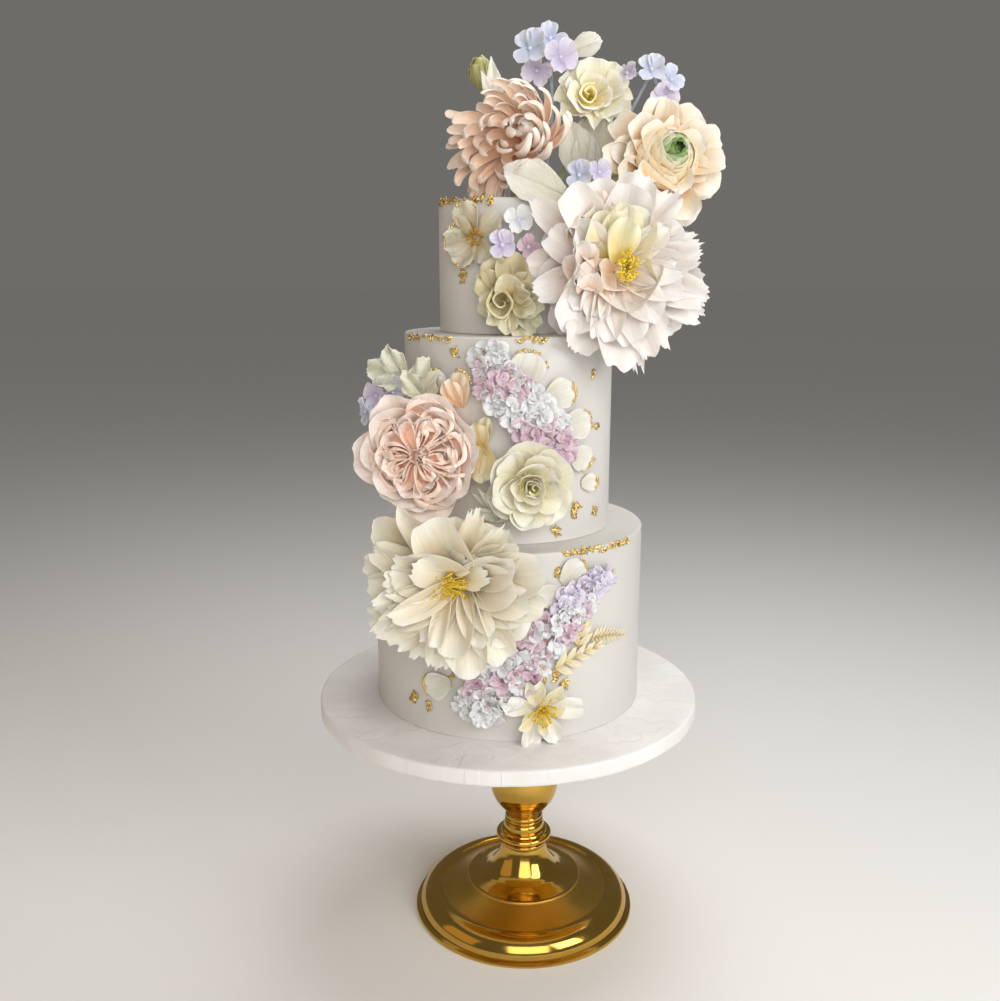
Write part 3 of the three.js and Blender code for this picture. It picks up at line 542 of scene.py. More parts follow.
def whorl(row, seed, colours):
    # One ring of petals round the stalk. Angles, lengths and leans come from the seed. The midline of a
    # petal leaves the receptacle and leans from open[0] to open[1] off the stalk, with curl added over its
    # last third. Its width swells as a sine up to peak and falls after it. Its outline is a rounded arch,
    # or a power of the side where tip is set, notched and toothed by shortening the reach of each column.
    # Its sides rise by cup, sweep carries the tip round the stalk, and waves, dents and veins run over it.
    own = {**petal, **row}
    i = np.arange(own["count"])
    step = (own["arc"][1] - own["arc"][0]) / own["count"]
    chance = own["luck"]
    angle = np.radians(own["turn"] + own["arc"][0] + step * (i + 0.5 + 0.18 * wobble(seed + 3 * i + 2)))
    length = (own["length"] * (1 + 0.07 * chance * wobble(seed + 3 * i + 1)))[:, None, None]
    lean = chance * (np.where(i % 2, 4, -4) + 3 * wobble(seed + 3 * i))[:, None, None]
    luck = [wobble(seed + 500 + 17 * k + i)[:, None, None] for k in range(6)]
    s = np.sin(np.linspace(-np.pi / 2, np.pi / 2, own["columns"]))[None, None, :]
    t = np.linspace(0, 1, own["rows"])[None, :, None]
    arch = np.abs(s) ** own["tip"] if own["tip"] else 1 - np.sqrt(1 - np.minimum(1, np.abs(s)) ** 2.6)
    teeth = 0.5 + 0.3 * np.sin(13 * s + 6 * luck[0]) + 0.3 * np.sin(29 * s + 9 * luck[1])
    notch = own["notch"] * np.exp(-((s - 0.25 * luck[2]) / 0.16) ** 2)
    margin = 0.5 + 0.3 * np.sin(5.3 * s + 7 * luck[3]) + 0.2 * np.sin(9.7 * s + 9 * luck[4])
    tau = t * (1 - own["round"] * arch - notch - own["teeth"] * teeth - own["margin"] * margin)
    curled = np.clip((tau - 0.66) / 0.34, 0, 1) ** 2
    opening = own["open"][0] + lean + (own["open"][1] - own["open"][0]) * tau + own["curl"] * curled
    slope = np.radians(opening)
    stride = np.diff(tau, axis=1, prepend=0)
    stride[:, 0] = 0
    middle = np.radians(opening - 0.5 * np.diff(opening, axis=1, prepend=opening[:, :1]))
    radius = own["start"] + np.cumsum(np.sin(middle) * stride, 1) * length
    height = own["lift"] + np.cumsum(np.cos(middle) * stride, 1) * length
    swell = own["neck"] + (1 - own["neck"]) * np.sin(np.pi / 2 * np.minimum(1, tau / own["peak"]))
    taper = 1 - own["fall"] * np.clip((tau - own["peak"]) / (1 - own["peak"]), 0, 1) ** 2
    half = own["width"] / 2 * (1 + 0.1 * chance * luck[3]) * swell * taper
    cup = np.radians(own["cup"]) * (1 + 0.2 * luck[4]) + 1e-3
    aside = half * np.sin(s * cup) / cup
    inward = half * (1 - np.cos(s * cup)) / cup
    inward = inward + own["ruffle"] * tau**2 * np.sin(own["waves"] * np.pi * s + 5 * luck[5] + 2 * tau)
    inward = inward + own["ruffle"] * 0.5 * tau**4 * np.sin(3.1 * own["waves"] * s + 8 * luck[0])
    inward = inward + own["dent"] * np.sin(5 * tau + 4 * luck[1]) * np.cos(2.2 * s + 3 * luck[2])
    if own["veins"]:  # a midrib and side veins that slant to the tip, as grooves
        side = np.abs(np.sin(np.pi * (own["ribs"] * tau - 0.35 * own["ribs"] * np.abs(s))))
        inward = inward - own["veins"] * (np.exp(-(side / 0.22) ** 2) * 0.6 + np.exp(-((s / 0.07) ** 2)))
    twist = np.radians(own["twist"]) * luck[4] * tau
    aside, inward = turned(aside, inward, twist)
    radius = radius - np.cos(slope) * inward
    height = height + np.sin(slope) * inward
    turn = angle[:, None, None] + np.radians(own["sweep"]) * (1 + 0.5 * luck[3]) * tau**2
    x, y = turned(radius, aside, turn)
    grids = np.stack([x + own["shift"][0], y + own["shift"][1], height], -1)
    body, heart, edge = [linear(row.get(key, colours[key])) for key in ("body", "heart", "edge")]
    # Painted shade and highlight: towards the root each petal takes on its heart colour, partly its own
    # deeper tone and partly painted shade, and towards the tip and sides its edge colour, partly a paler rim
    # and partly a painted highlight.
    tints = mixed(body, heart, own["heartAndShadeShare"] * np.clip(1 - tau + 0 * s, 0, 1) ** 1.3)
    tints = mixed(tints, edge, own["edgeAndHighlightShare"] * np.maximum(tau**4, np.abs(s) ** 5 * np.sqrt(tau)))
    tints = tints * (1 + 0.035 * luck[5])[..., None]
    uvs = np.stack(np.broadcast_arrays(s * own["width"] / 2 + 40 * luck[0], tau * length), -1)
    return shells(grids, own["thick"], tints, uvs)


def rolled(heart):
    # A rolled heart: one upright band that winds in to the stalk, nearer by a power of its run, with a wavy
    # upper edge that rolls outwards.
    u = np.linspace(0, 1, int(56 * heart["turns"]))[:, None]
    t = np.linspace(0, 1, 11)[None, :]
    turn = 2 * np.pi * heart["turns"] * u + np.radians(heart["start"])
    uneven = 1 + 0.15 * np.sin(1.7 * turn) + 0.06 * np.sin(4.3 * turn)
    reach = heart["reach"] * (1 - u) ** 0.75 * uneven + 0.8
    outward = reach + heart["roll"] * (1 - 0.6 * u) * np.clip((t - 0.5) / 0.5, 0, 1) ** 2
    rise = heart["height"] * (0.8 + 0.2 * u) + heart["wave"] * np.sin(1.9 * turn + 1) * (1 - 0.5 * u)
    x = outward * np.cos(turn) + heart["shift"][0]
    y = outward * np.sin(turn) + heart["shift"][1]
    height = heart["lift"] + rise * np.sin(np.pi / 2 * t)
    # Painted shade and highlight: the band is darkest at its foot, partly the flower's own deeper tone and
    # partly painted shade, and paler at its upper edge, partly a painted highlight.
    tints = mixed(linear(heart["deepToneAndShade"]), linear(heart["body"]), (t + 0 * u) ** 1.3)
    tints = mixed(tints, linear(heart["edge"]), 0.85 * (t + 0 * u) ** 6)
    uvs = np.stack(np.broadcast_arrays(30 * t + 0 * u, 60 * u), -1)
    return shells(np.stack([x, y, height], -1)[None], 0.7, tints[None], uvs[None])


def moved(made, spec):  # a part of a flower put at its place on the cake
    at, face, stretch = spec["at"], spec["face"], spec.get("stretch", 1)
    return {**made, "points": placed(made["points"], at, face, spec.get("roll", 0), stretch)}


def stamens(spec, seed):
    # threads that leave the heart in a cone and curve outwards, each with a small anther at its tip
    i = np.arange(spec["count"])
    turn = np.radians(137.5) * i + 0.3 * wobble(seed + i)
    share = np.sqrt((i + 0.5) / spec["count"])
    opening = np.radians(spec["spread"]) * share * (1 + 0.15 * wobble(seed + 90 + i))
    length = spec["length"] * (1 + 0.18 * wobble(seed + 200 + i))
    t = np.linspace(0, 1, 6)[None, :]
    lean = opening[:, None] * (0.4 + 0.8 * t)
    radius = 1.5 + length[:, None] * t * np.sin(lean)
    height = spec["lift"] + length[:, None] * t * np.cos(lean)
    x = radius * np.cos(turn[:, None]) * spec["wide"] + spec["shift"][0]
    y = radius * np.sin(turn[:, None]) + spec["shift"][1]
    paths = np.stack([x, y, height], -1)
    thread = tubes(paths, spec["thread"], linear(spec["threadTint"]), 5)
    shades = mixed(linear(spec["tipTint"]), linear(spec["tipDark"]), 0.5 + 0.5 * wobble(seed + 300 + i))
    tips = balls(paths[:, -1], spec["anther"] * (1 + 0.25 * wobble(seed + 400 + i)), shades, 6, 4, 1.5)
    return [thread, tips]


green = {"cup": "a9b07c", "stalk": "aab183", "sepals": tones("b4ba86", "98a268", "c8cba0")}


def calyx(spec):
    # the green back of a flower: a cup and five pointed sepals in proportion to its size, and its stalk
    back = spec["calyx"]
    sepals = ring(
        5, back * 2.1, back * 1.1, 108, 78, round=0.75, neck=0.6, peak=0.35, fall=0.6, cup=30,
        start=back * 0.35, lift=-1.5, rows=10, columns=9, tip=1.5,
    )
    angle = np.linspace(-np.pi / 2, 0.2, 9)
    profile = np.stack([back * np.cos(angle), back * 0.8 * np.sin(angle) + 1], -1)
    cup = revolved(np.vstack([profile, [0, 1.5]]), 24, linear(green["cup"]))
    parts = [moved(whorl(sepals, spec["seed"] + 7, green["sepals"]), spec), moved(cup, spec)]
    if "stalk" in spec:
        path = smoothPath(spec["stalk"], 6)[None]
        parts.append(tubes(path, spec.get("stalkRadius", 1.8), linear(green["stalk"]), 10))
    return parts


def flower(name, spec):  # its petals, and its stamens and green back where it has them
    parts = [whorl(row, spec["seed"] + 40 * k, spec["colours"]) for k, row in enumerate(spec["rows"])]
    parts += spec.get("extra", [])
    if "heart" in spec:
        parts.append(rolled(spec["heart"]))
    parts = [moved(made, spec) for made in parts]
    sugarPiece(f"{name}_petals", parts, spec["slot"], [name], crisp["petal"])
    if "stamens" in spec:
        made = [moved(m, spec) for m in stamens(spec["stamens"], spec["seed"])]
        sugarPiece(f"{name}_stamens", made, "petal_lemon")
    if "calyx" in spec:
        sugarPiece(f"{name}_calyx", calyx(spec), "leaf_sage")
    print(name, "ready")


goldStamens = {
    "count": 90, "length": 13, "spread": 62, "lift": 6, "thread": 0.28, "anther": 0.75, "shift": (0, 0),
    "wide": 1, "threadTint": "f3d95a", "tipTint": "f5cf3a", "tipDark": "d9a21f",
}
loose = {"peak": 0.7, "fall": 0, "ruffle": 2.7, "waves": 1.8, "dent": 1.6, "twist": 14, "neck": 0.3}


def single(angle, length, width, first, last, cup=58, **more):
    # one petal by itself, at an angle round the stalk, on a finer grid where its rim is toothed or notched
    if "teeth" in more or "notch" in more:
        more = {"columns": 31, "rows": 18, **more}
    return ring(1, length, width, first, last, **{**loose, "arc": (angle, angle), "cup": cup, **more})


lemonTinted = {
    "body": "f8f0cc", "heart": "fae284", "edge": "f8f4e2", "heartAndShadeShare": 1.0, "peak": 0.8, "round": 0.32,
}
paleLemon = {"body": "f7eed2", "heart": "f8d8a4", "edge": "f8f5ea", "heartAndShadeShare": 1.0}
blushTinted = {"body": "f6ebe2", "heart": "f8caa8", "edge": "f8f4f0", "heartAndShadeShare": 1.0}
peonyUpper = {
    "at": (73.5, -50, 540), "face": (4, 2), "stretch": 1.08, "seed": 11, "slot": "petal_blush", "calyx": 15,
    "stalk": [(73, -44, 540), (60, -30, 556), (36, -10, 580), (30, -4, 592)],
    # painted shade: the heart colour at the petals' roots is partly blush and partly painted shade
    "colours": tones("f1ebe6", "f6cfb0", "f6f4f1"),
    "rows": [
        ring(9, 56, 44, 70, 92, turn=10),
        # the outer ring, from the top round by the right
        single(75, 71, 36, 66, 86, 46, teeth=0.05), single(80, 60, 42, 58, 76),
        single(48, 68, 26, 60, 84, teeth=0.07), single(30, 58, 30, 56, 78),
        single(17, 71, 24, 66, 88, teeth=0.11), single(9, 62, 26, 58, 80, teeth=0.06),
        single(-8, 66, 32, 64, 86, teeth=0.09), single(-17, 68, 28, 58, 84, teeth=0.05),
        single(-26, 69, 30, 68, 88, teeth=0.06), single(-40, 65, 28, 72, 92),
        single(-62, 75, 42, 62, 86, teeth=0.09), single(-74, 73, 24, 76, 94, teeth=0.14),
        single(-88, 72, 38, 60, 84, notch=0.06), single(-120, 62, 36, 62, 80, teeth=0.05),
        single(-138, 60, 38, 54, 82, 66, curl=12), single(-166, 60, 30, 64, 86, teeth=0.04),
        single(176, 62, 26, 74, 92, body="fae6da"), single(157, 60, 34, 60, 84, teeth=0.03),
        single(144, 72, 26, 70, 88, teeth=0.06), single(127, 68, 42, 58, 82, 66),
        single(106, 56, 22, 58, 78, body="f6dac6", heart="e9b698"),
        # the middle ring, shorter and more cupped
        single(62, 50, 36, 46, 66, 50, **paleLemon), single(38, 52, 26, 48, 66, 54, body="fbf4e4"),
        single(2, 50, 30, 46, 76, 62), single(-16, 54, 30, 50, 78, 60, teeth=0.05),
        single(-48, 52, 34, 46, 76, 62), single(-78, 56, 36, 48, 78, 60),
        single(-104, 54, 34, 44, 78, 66, notch=0.06), single(-128, 44, 30, 40, 72, 70),
        single(-152, 48, 34, 42, 72, 72, curl=14), single(168, 50, 40, 62, 26, 78),
        single(140, 46, 34, 44, 66, 70), single(112, 46, 38, 40, 62, 46, **lemonTinted),
        single(-168, 40, 26, 34, 60, 74, **blushTinted),
        # round the heart
        single(112, 46, 36, 56, 72, 40, **lemonTinted), single(84, 44, 32, 52, 68, 40, **lemonTinted),
        single(58, 42, 30, 56, 72, 44, **lemonTinted), single(96, 32, 26, 44, 62, 40, **lemonTinted),
        single(118, 30, 26, 28, 52, 66, shift=(-18, -2), lift=12, teeth=0.06, **blushTinted),
        single(84, 37, 27, 32, 62, 44, shift=(2, 2), lift=7, **lemonTinted),
        single(150, 28, 24, 34, 56, 70, shift=(-20, -4), lift=10, **blushTinted),
        single(96, 25, 25, 4, 58, 74, shift=(-20, -13), lift=17, notch=0.13, start=0, **blushTinted),
        single(-170, 30, 26, 40, -6, 76, shift=(-20, -4), lift=8, **blushTinted),
        single(140, 26, 24, 66, -30, 84, shift=(-24, 22), lift=12, **blushTinted),
        single(-118, 34, 18, 50, 72, 60, shift=(-6, -4), lift=10, **blushTinted),
        single(-100, 30, 12, 46, 66, 60, shift=(-6, -6), lift=12, **blushTinted),
        # the boat under the stamens
        single(-82, 40, 66, 62, 8, 70, shift=(8, -1), peak=0.5, body="f6efe4", heart="f6dcb0"),
        single(-16, 34, 34, 54, 10, 70, shift=(10, -1), body="fbefcf", heart="f3d79a"),
        single(-150, 32, 34, 52, 10, 70, shift=(5, -1), **blushTinted),
    ],
    "stamens": {**goldStamens, "length": 15, "spread": 30, "lift": 9, "shift": (8, 1), "anther": 0.85,
                "wide": 0.75, "threadTint": "fcea7c", "tipTint": "fdea5a", "tipDark": "f6cf2c"},
}
hood = {"start": 15, "shift": (-18, -2), "lift": 5, "teeth": 0.16, "body": "f3eedc", "heart": "d6bc70"}
narrow = {"peak": 0.6, "cup": 80, "ruffle": 1.2}
peonyLower = {
    "at": (-32, -112, 328), "face": (-10, -3), "stretch": 0.92, "seed": 211, "slot": "petal_ivory",
    "calyx": 15,
    # painted shade: the heart colour is darkened for the shade deep in the flower, over the paste's own ivory
    "colours": tones("eee7d4", "cfb270", "faf7ec"),
    "rows": [
        ring(9, 54, 46, 66, 88),
        # the outer ring, from the top round by the right
        # painted shade: the petal at 142 has a darker body
        single(122, 74, 26, 64, 84, tip=1.6, body="efe8d4"), single(142, 73, 36, 76, 92, body="e4dabc"),
        single(76, 68, 20, 62, 80, teeth=0.14), single(56, 62, 24, 60, 80, teeth=0.12),
        single(38, 58, 34, 58, 80), single(17, 71, 46, 64, 86, 50), single(-14, 64, 34, 66, 88),
        single(-44, 60, 44, 74, 94, 30, body="f1ece0"), single(-60, 64, 34, 68, 88),
        single(-84, 74, 36, 68, 90), single(-104, 70, 32, 62, 86, teeth=0.06),
        single(-120, 72, 34, 64, 88, teeth=0.07), single(-134, 76, 36, 62, 86, notch=0.06, teeth=0.03),
        single(-146, 72, 34, 56, 82, teeth=0.05), single(-156, 75, 34, 64, 86, notch=0.05, teeth=0.03),
        single(-166, 68, 34, 54, 80, teeth=0.05), single(-178, 70, 32, 66, 88, notch=0.04),
        single(168, 74, 32, 72, 90), single(154, 68, 30, 62, 84, teeth=0.05),
        # the middle ring
        single(101, 70, 44, 46, 74, 60, body="f3ecd8", heart="dccb9c"),
        single(150, 60, 50, 40, 76, 56, teeth=0.06), single(128, 52, 40, 30, 66, 54, teeth=0.08),
        single(172, 58, 38, 44, 76, 62, teeth=0.06), single(34, 54, 42, 46, 70, 62),
        single(8, 50, 48, 44, 68, 66), single(-10, 58, 36, 54, 80, 60),
        single(-164, 56, 34, 42, 74, 70, teeth=0.06),
        single(-150, 58, 34, 46, 76, 66, notch=0.05, teeth=0.03),
        single(-118, 56, 26, 44, 78, 66, teeth=0.05), single(-157, 60, 30, 38, 70, 74, teeth=0.05),
        single(-92, 56, 34, 50, 80, 56), single(-66, 56, 24, 46, 78, **narrow),
        single(-52, 50, 18, 40, 74, **narrow), single(-136, 46, 15, 40, 74, **narrow),
        single(-126, 42, 13, 38, 74, **narrow), single(-146, 42, 14, 36, 70, **narrow),
        single(-112, 46, 13, 38, 76, **narrow),
        # the tongue and the serrated hood round the stamens
        single(-98, 45, 17, 30, 80, 56, start=6, shift=(-8, -2), lift=8),
        single(26, 36, 32, 50, 82, 40, **hood), single(56, 34, 32, 38, 76, 44, **hood),
        single(95, 27, 24, 12, 52, 56, **hood), single(128, 30, 26, 14, 56, 56, **hood),
        single(158, 32, 28, 22, 64, 56, **hood), single(-170, 30, 24, 34, 72, 60, **hood),
    ],
    "stamens": {**goldStamens, "count": 190, "spread": 52, "length": 15, "lift": 5, "shift": (-20, -2),
                "wide": 1.7, "thread": 0.42, "anther": 0.95, "threadTint": "f8de52", "tipTint": "fadc4a",
                "tipDark": "e2b42e"},
}
rosePeach = {
    "at": (-59, -66, 410), "face": (-12, 4), "seed": 411, "slot": "petal_peach",
    "colours": tones("fbe8dc", "f8c2a0", "fbf4ee"),
    "rows": [
        ring(7, 52, 50, 74, 36, curl=34, cup=34), ring(8, 25, 20, 42, 26, start=13, lift=13, cup=60),
        ring(8, 48, 42, 70, 30, curl=24, turn=22, cup=40),
        ring(9, 43, 34, 64, 20, curl=16, turn=5, cup=48, body="fde3d3", heart="f7be9e"),
    ],
}
chrysanthemum = {
    "at": (6, -14, 630), "face": (-10, 14), "seed": 611, "slot": "petal_peach", "calyx": 13,
    "stalk": [(6, -12, 628), (6, -8, 592)], "stalkRadius": 5,
    # painted shade: the heart colour is a saturated peach, partly the paste's own and partly painted shade
    # between the dense petals
    "colours": tones("ffe9d6", "ffbf90", "fff8ef"),
}
strap = {
    "neck": 0.6, "peak": 0.6, "fall": 0.15, "round": 0.25, "cup": 84, "ruffle": 0.3, "dent": 0.6, "waves": 1,
    "rows": 20, "columns": 9, "twist": 20, "edgeAndHighlightShare": 0.85, "heartAndShadeShare": 0.8, "luck": 1.8,
}
strapKeys = ("count", "length", "width", "open", "curl", "start", "sweep", "arc", "shift")
strapRings = (  # narrow petals in nine rings from the outside in, in the order of the keys
    (5, 48, 12, (100, 80), -50, 6, 10, (150, 262), (0, 0)),
    (6, 53, 12, (97, 60), -70, 6, 14, (146, 262), (0, 0)),
    (7, 55, 12, (93, 40), -80, 6, 18, (138, 260), (1, 0)),
    (9, 51, 12, (86, 20), -90, 5, 24, (50, 262), (3, 0)),
    (12, 49, 12, (86, 10), -84, 4, 34, (-40, 285), (5, 2)),
    (12, 46, 12, (72, -6), -80, 4, 44, (-50, 300), (7, 3)),
    (10, 40, 11.5, (58, -22), -70, 3, 56, (0, 360), (9, 3)),
    (8, 33, 11, (44, -34), -60, 2, 66, (0, 360), (10, 3)),
    (6, 25, 10, (30, -42), -50, 1, 76, (0, 360), (10, 3)),
)
chrysanthemum["rows"] = [{**strap, **dict(zip(strapKeys, values))} for values in strapRings]

lobed = {"waves": 1.4, "peak": 0.78, "round": 0.34, "luck": 1.8, "heartAndShadeShare": 1.0, "edgeAndHighlightShare": 0.95}
ranunculus = {
    "at": (109, -12, 614), "face": (12, 8), "seed": 811, "slot": "petal_apricot", "calyx": 14,
    "stalk": [(109, -6, 613), (84, 4, 610), (52, 6, 602), (34, 4, 592)], "stalkRadius": 2.2,
    # painted shade: the heart colour is a deep apricot, partly the paste's own and partly painted shade
    "colours": tones("f5e6cc", "f0a850", "fbf7ee"),
    "rows": [
        ring(9, 50, 33, 84, 62, ruffle=3, curl=30, cup=60, **lobed),
        ring(9, 46, 30, 74, 44, turn=26, curl=50, cup=66, **lobed),
        ring(8, 40, 27, 62, 28, turn=8, curl=60, cup=70, **lobed),
    ],
}
shellTones = (  # from the outer shells in to the green eye
    ("f3dfb8", "faf2e2"), ("f0d4a0", "f8ecd2"), ("f0d8aa", "f8eed8"), ("ebe4c0", "f4f0d8"),
    ("cdd6ac", "e0e6c8"), ("a9be88", "c2d0a4"), ("86a662", "a2ba80"), ("6b8f46", "84a45e"),
)
for k in range(11):  # nested shells that lean in over the green eye, each open a little less than the last
    rim, length = 17 - 1.45 * k, 16 - 0.4 * k
    body, edge = shellTones[max(min(k // 2, 3), k - 3)]
    # the shells' apricot heart is partly painted shade too; the green towards the eye is the flower's own
    ranunculus["rows"].append(ring(
        4, length, 1.9 * (rim + 0.4 * length), 25, -75, cup=56, start=rim + 0.37 * length, lift=10 + 0.8 * k,
        turn=37 * k, curl=34, ruffle=0.5, dent=0.3, shift=(3 + 0.5 * k, 4 + 0.5 * k), rows=14, columns=15,
        round=0.25, luck=0.6, body=body, heart="f2b866" if k < 6 else "9cb46c", edge=edge,
    ))
eye = np.array([[0, 13], [5.2, 13.2], [5.6, 16], [4.6, 19.6], [2.4, 21.8], [0, 22.4]], float)
ranunculus["extra"] = [revolved(eye, 24, linear("6f9a48"), (8.3, 9))]

broad = {"peak": 0.78, "fall": 0, "round": 0.28, "waves": 1.5}
roseLemon = {
    "at": (13, -83.5, 390), "face": (8, -3), "seed": 1011, "slot": "petal_lemon",
    "colours": tones("f2ecd8", "e4d886", "f6f4e8"),
    "rows": [
        ring(6, 31, 34, 82, 66, ruffle=1.8, lift=2.5, **broad),
        ring(5, 28, 32, 72, 46, turn=18, curl=34, cup=52, lift=1.5, **broad),
        ring(4, 24, 29, 60, 24, turn=50, cup=62, curl=44, **broad),
        ring(3, 20, 27, 46, 2, turn=20, cup=76, curl=44, **broad),
        ring(3, 16, 20, 34, -12, turn=75, cup=84, curl=40, shift=(3, -1), heart="ddd06e", **broad),
        ring(2, 13, 13, 20, -8, turn=10, cup=90, curl=30, shift=(3, -1), body="f6f0b4", heart="d6c860",
             **broad),
    ],
    "heart": {"turns": 1.1, "start": 200, "reach": 3.2, "height": 12, "lift": 2, "roll": 1.6, "wave": 1.1,
              "shift": (4, -1), "deepToneAndShade": "d3c55a", "body": "f4eca8", "edge": "fdfadc"},
}
# Painted shade: the small rose's colours are darkened to khaki over a pale lemon paste, and those of its back
# petals most of all.
shadedBack = tones("cfc4a0", "b8964c", "ddd5b8")
roseSmall = {
    "at": (1, -57, 520), "face": (2, 4), "seed": 1211, "slot": "petal_lemon",
    "colours": tones("ded7ba", "c4ac60", "eae5ce"),
    "rows": [
        single(118, 30, 28, 84, 78, 40, **shadedBack), single(88, 31, 27, 82, 76, 40, **shadedBack),
        single(150, 25, 24, 84, 78, 40, **shadedBack), single(-160, 22, 22, 82, 70, 44),
        single(48, 21, 20, 76, 58, 50), single(14, 20, 24, 66, 46, 60, heart="c8a440"),
        single(-20, 22, 22, 74, 60, 54), single(-48, 30, 17, 80, 68, 44, body="d4d6be", heart="b9bf90"),
        single(-72, 34, 17, 82, 70, 44, body="e8e3ca"), single(-100, 24, 22, 76, 62, 50),
        single(-134, 24, 22, 72, 50, 60), single(104, 22, 24, 44, 40, 66, curl=30, body="e8e3ca"),
        single(20, 17, 19, 46, 24, 66, curl=30, body="ece8d2"), single(-38, 21, 21, 52, 44, 60, curl=24),
    ],
    # painted shade: its rolled heart is darkened to khaki the same way
    "heart": {"turns": 1.7, "start": 120, "reach": 9, "height": 13, "lift": 2, "roll": 2.4, "wave": 2.6,
              "shift": (-7, -3), "deepToneAndShade": "b09a48", "body": "d6ce9e", "edge": "e2dcbc"},
}
blossomLemon = {
    "at": (62, 2, 664), "face": (4, 22), "seed": 1411, "slot": "petal_lemon", "calyx": 8,
    "stalk": [(62, 5, 662), (48, 8, 630), (34, 8, 592)],
    "colours": tones("faf5e2", "f3e08a", "fcfaf0"),
    "rows": [
        ring(6, 27, 29, 80, 62, **{**broad, "ruffle": 3, "waves": 2.2}),
        ring(5, 24, 27, 68, 44, turn=50, curl=24, cup=46, **broad),
        ring(4, 19, 24, 58, 26, turn=30, cup=50, curl=40, shift=(-3, -2), heart="ecd468", **broad),
    ],
    "heart": {"turns": 1.6, "start": 60, "reach": 6, "height": 11, "lift": 2, "roll": 2.4, "wave": 1.4,
              "shift": (-4, -2), "deepToneAndShade": "f0d860", "body": "fbf0b4", "edge": "fffdea"},
    "stamens": {**goldStamens, "count": 16, "length": 8, "lift": 3, "spread": 50, "anther": 0.5,
                "shift": (-4, -2)},
}
lily = {
    "at": onWall("bottom", 11, 226, 2.5), "face": (11, -4), "seed": 1611, "slot": "petal_cream",
    "colours": tones("f3f1ec", "efe8cc", "fbfaf6"),
    "rows": [
        single(-104, 30, 19, 86, 72, 40, teeth=0.04), single(-58, 29, 17, 84, 70, 40, teeth=0.06),
        single(6, 32, 20, 84, 74, 30), single(48, 24, 16, 80, 66, 44, body="f4ecc8"),
        single(100, 26, 17, 84, 70, 40, body="f4ecc8"), single(160, 26, 18, 86, 74, 34, teeth=0.06),
        single(-150, 18, 13, 60, 48, 50, body="f2e8bc"), single(20, 20, 13, 56, 40, 56, body="f2e6b0"),
        single(-74, 19, 13, 54, 46, 60, body="f4ecc8"),
    ],
    "stamens": {**goldStamens, "count": 26, "length": 14, "lift": 2, "spread": 34, "thread": 0.5,
                "anther": 0.9, "shift": (2, 2)},
}
blossomPressed = {
    "at": onWall("top", -26, 563, 1.5), "face": (-26, 0), "seed": 1811, "slot": "petal_cream",
    "colours": tones("d4cfbe", "bfa566", "e6e2d4"),
    "rows": [
        single(112, 24, 24, 86, 82, 24, teeth=0.08), single(36, 22, 18, 86, 84, 20, round=0.2, teeth=0.05),
        single(152, 19, 18, 86, 82, 24, body="c8c2ac"), single(-166, 24, 23, 84, 78, 28, teeth=0.08),
        single(-128, 23, 22, 85, 80, 24, teeth=0.08), single(-60, 18, 17, 86, 82, 24, teeth=0.06),
    ],
    "stamens": {**goldStamens, "count": 20, "length": 4.5, "lift": 1, "spread": 76, "anther": 0.8,
                "threadTint": "dba63c", "tipTint": "e0ab3f", "tipDark": "b47f28"},
}


def quartered(spec):
    # The heart of a quartered rose: in each quarter, nested upright bands over a low dome. The foot of a
    # band follows a loop that leaves the heart, rounds off at its reach and comes back, and its upper part
    # rolls over.
    grids, tints, uvs = [], [], []
    s = np.linspace(-1, 1, 29)[:, None]
    t = np.linspace(0, 1, 11)[None, :]
    for quarter in range(spec["quarters"]):
        axis = 360 / spec["quarters"] * (quarter + 0.3 * wobble(900 + quarter)) + spec["turn"]
        nested = spec["nested"] + quarter % 2
        for k in range(nested):
            luck = wobble(950 + 31 * quarter + 7 * k)
            other = wobble(990 + 17 * quarter + 11 * k)
            share = 1 - k / nested
            reach = spec["radius"] * (0.3 + 0.68 * share) * (1 + 0.06 * luck)
            wide = spec["spread"] * (0.24 + 0.76 * share)
            radial = reach * (1 - 0.84 * np.abs(s) ** 2.2)
            aside = np.radians(wide) * np.sin(np.pi / 2 * s) * (0.5 + 0.5 * radial / reach)
            bend = np.radians(14 * other) * radial / reach
            turn = np.radians(axis + 8 * luck) + aside + bend + 0.06 * np.sin(8 * s + 6 * luck)
            dome = spec["lift"] + spec["height"] * np.sqrt(np.clip(1 - (radial / spec["dome"]) ** 2, 0.02, 1))
            top = dome + 1.5 * np.sin(6 * s + 9 * luck) + 0.9 * np.sin(13 * s + 4 * other) + 1.2 * other
            roll = np.clip((t - 0.55) / 0.45, 0, 1)
            outward = radial + 1 + spec["roll"] * roll**2 + 0.7 * np.sin(5 * s + 4 * t)
            height = top * np.sin(np.pi / 2 * np.minimum(1, t * 1.25)) - 1.2 * roll**3
            grids.append(np.stack([outward * np.cos(turn), outward * np.sin(turn), height + 4 * (1 - t)], -1))
            # Painted shade and highlight: each band is darkest at its foot, partly the rose's own deeper tone
            # and partly painted shade in the crevices, and paler at its rolled top, partly a painted
            # highlight.
            body = mixed(linear(spec["deepToneAndShade"]), linear(spec["body"]), (t + 0 * s) ** 1.2)
            tints.append(mixed(body, linear(spec["edge"]), 0.8 * (t + 0 * s) ** 5) * (1 + 0.03 * luck))
            uvs.append(np.stack(np.broadcast_arrays(t * 20 + 0 * s, s * 30 + 0 * t), -1))
    angle = np.linspace(0, np.pi / 2, 10)
    bed = np.stack([spec["radius"] * np.cos(angle), spec["lift"] - 5 + spec["height"] * np.sin(angle)], -1)
    bed = revolved(np.vstack([[0, 4], [spec["radius"] - 4, 4], bed]), 48, linear(spec["bed"]))
    return [shells(np.array(grids), 1, np.array(tints), np.array(uvs)), bed]


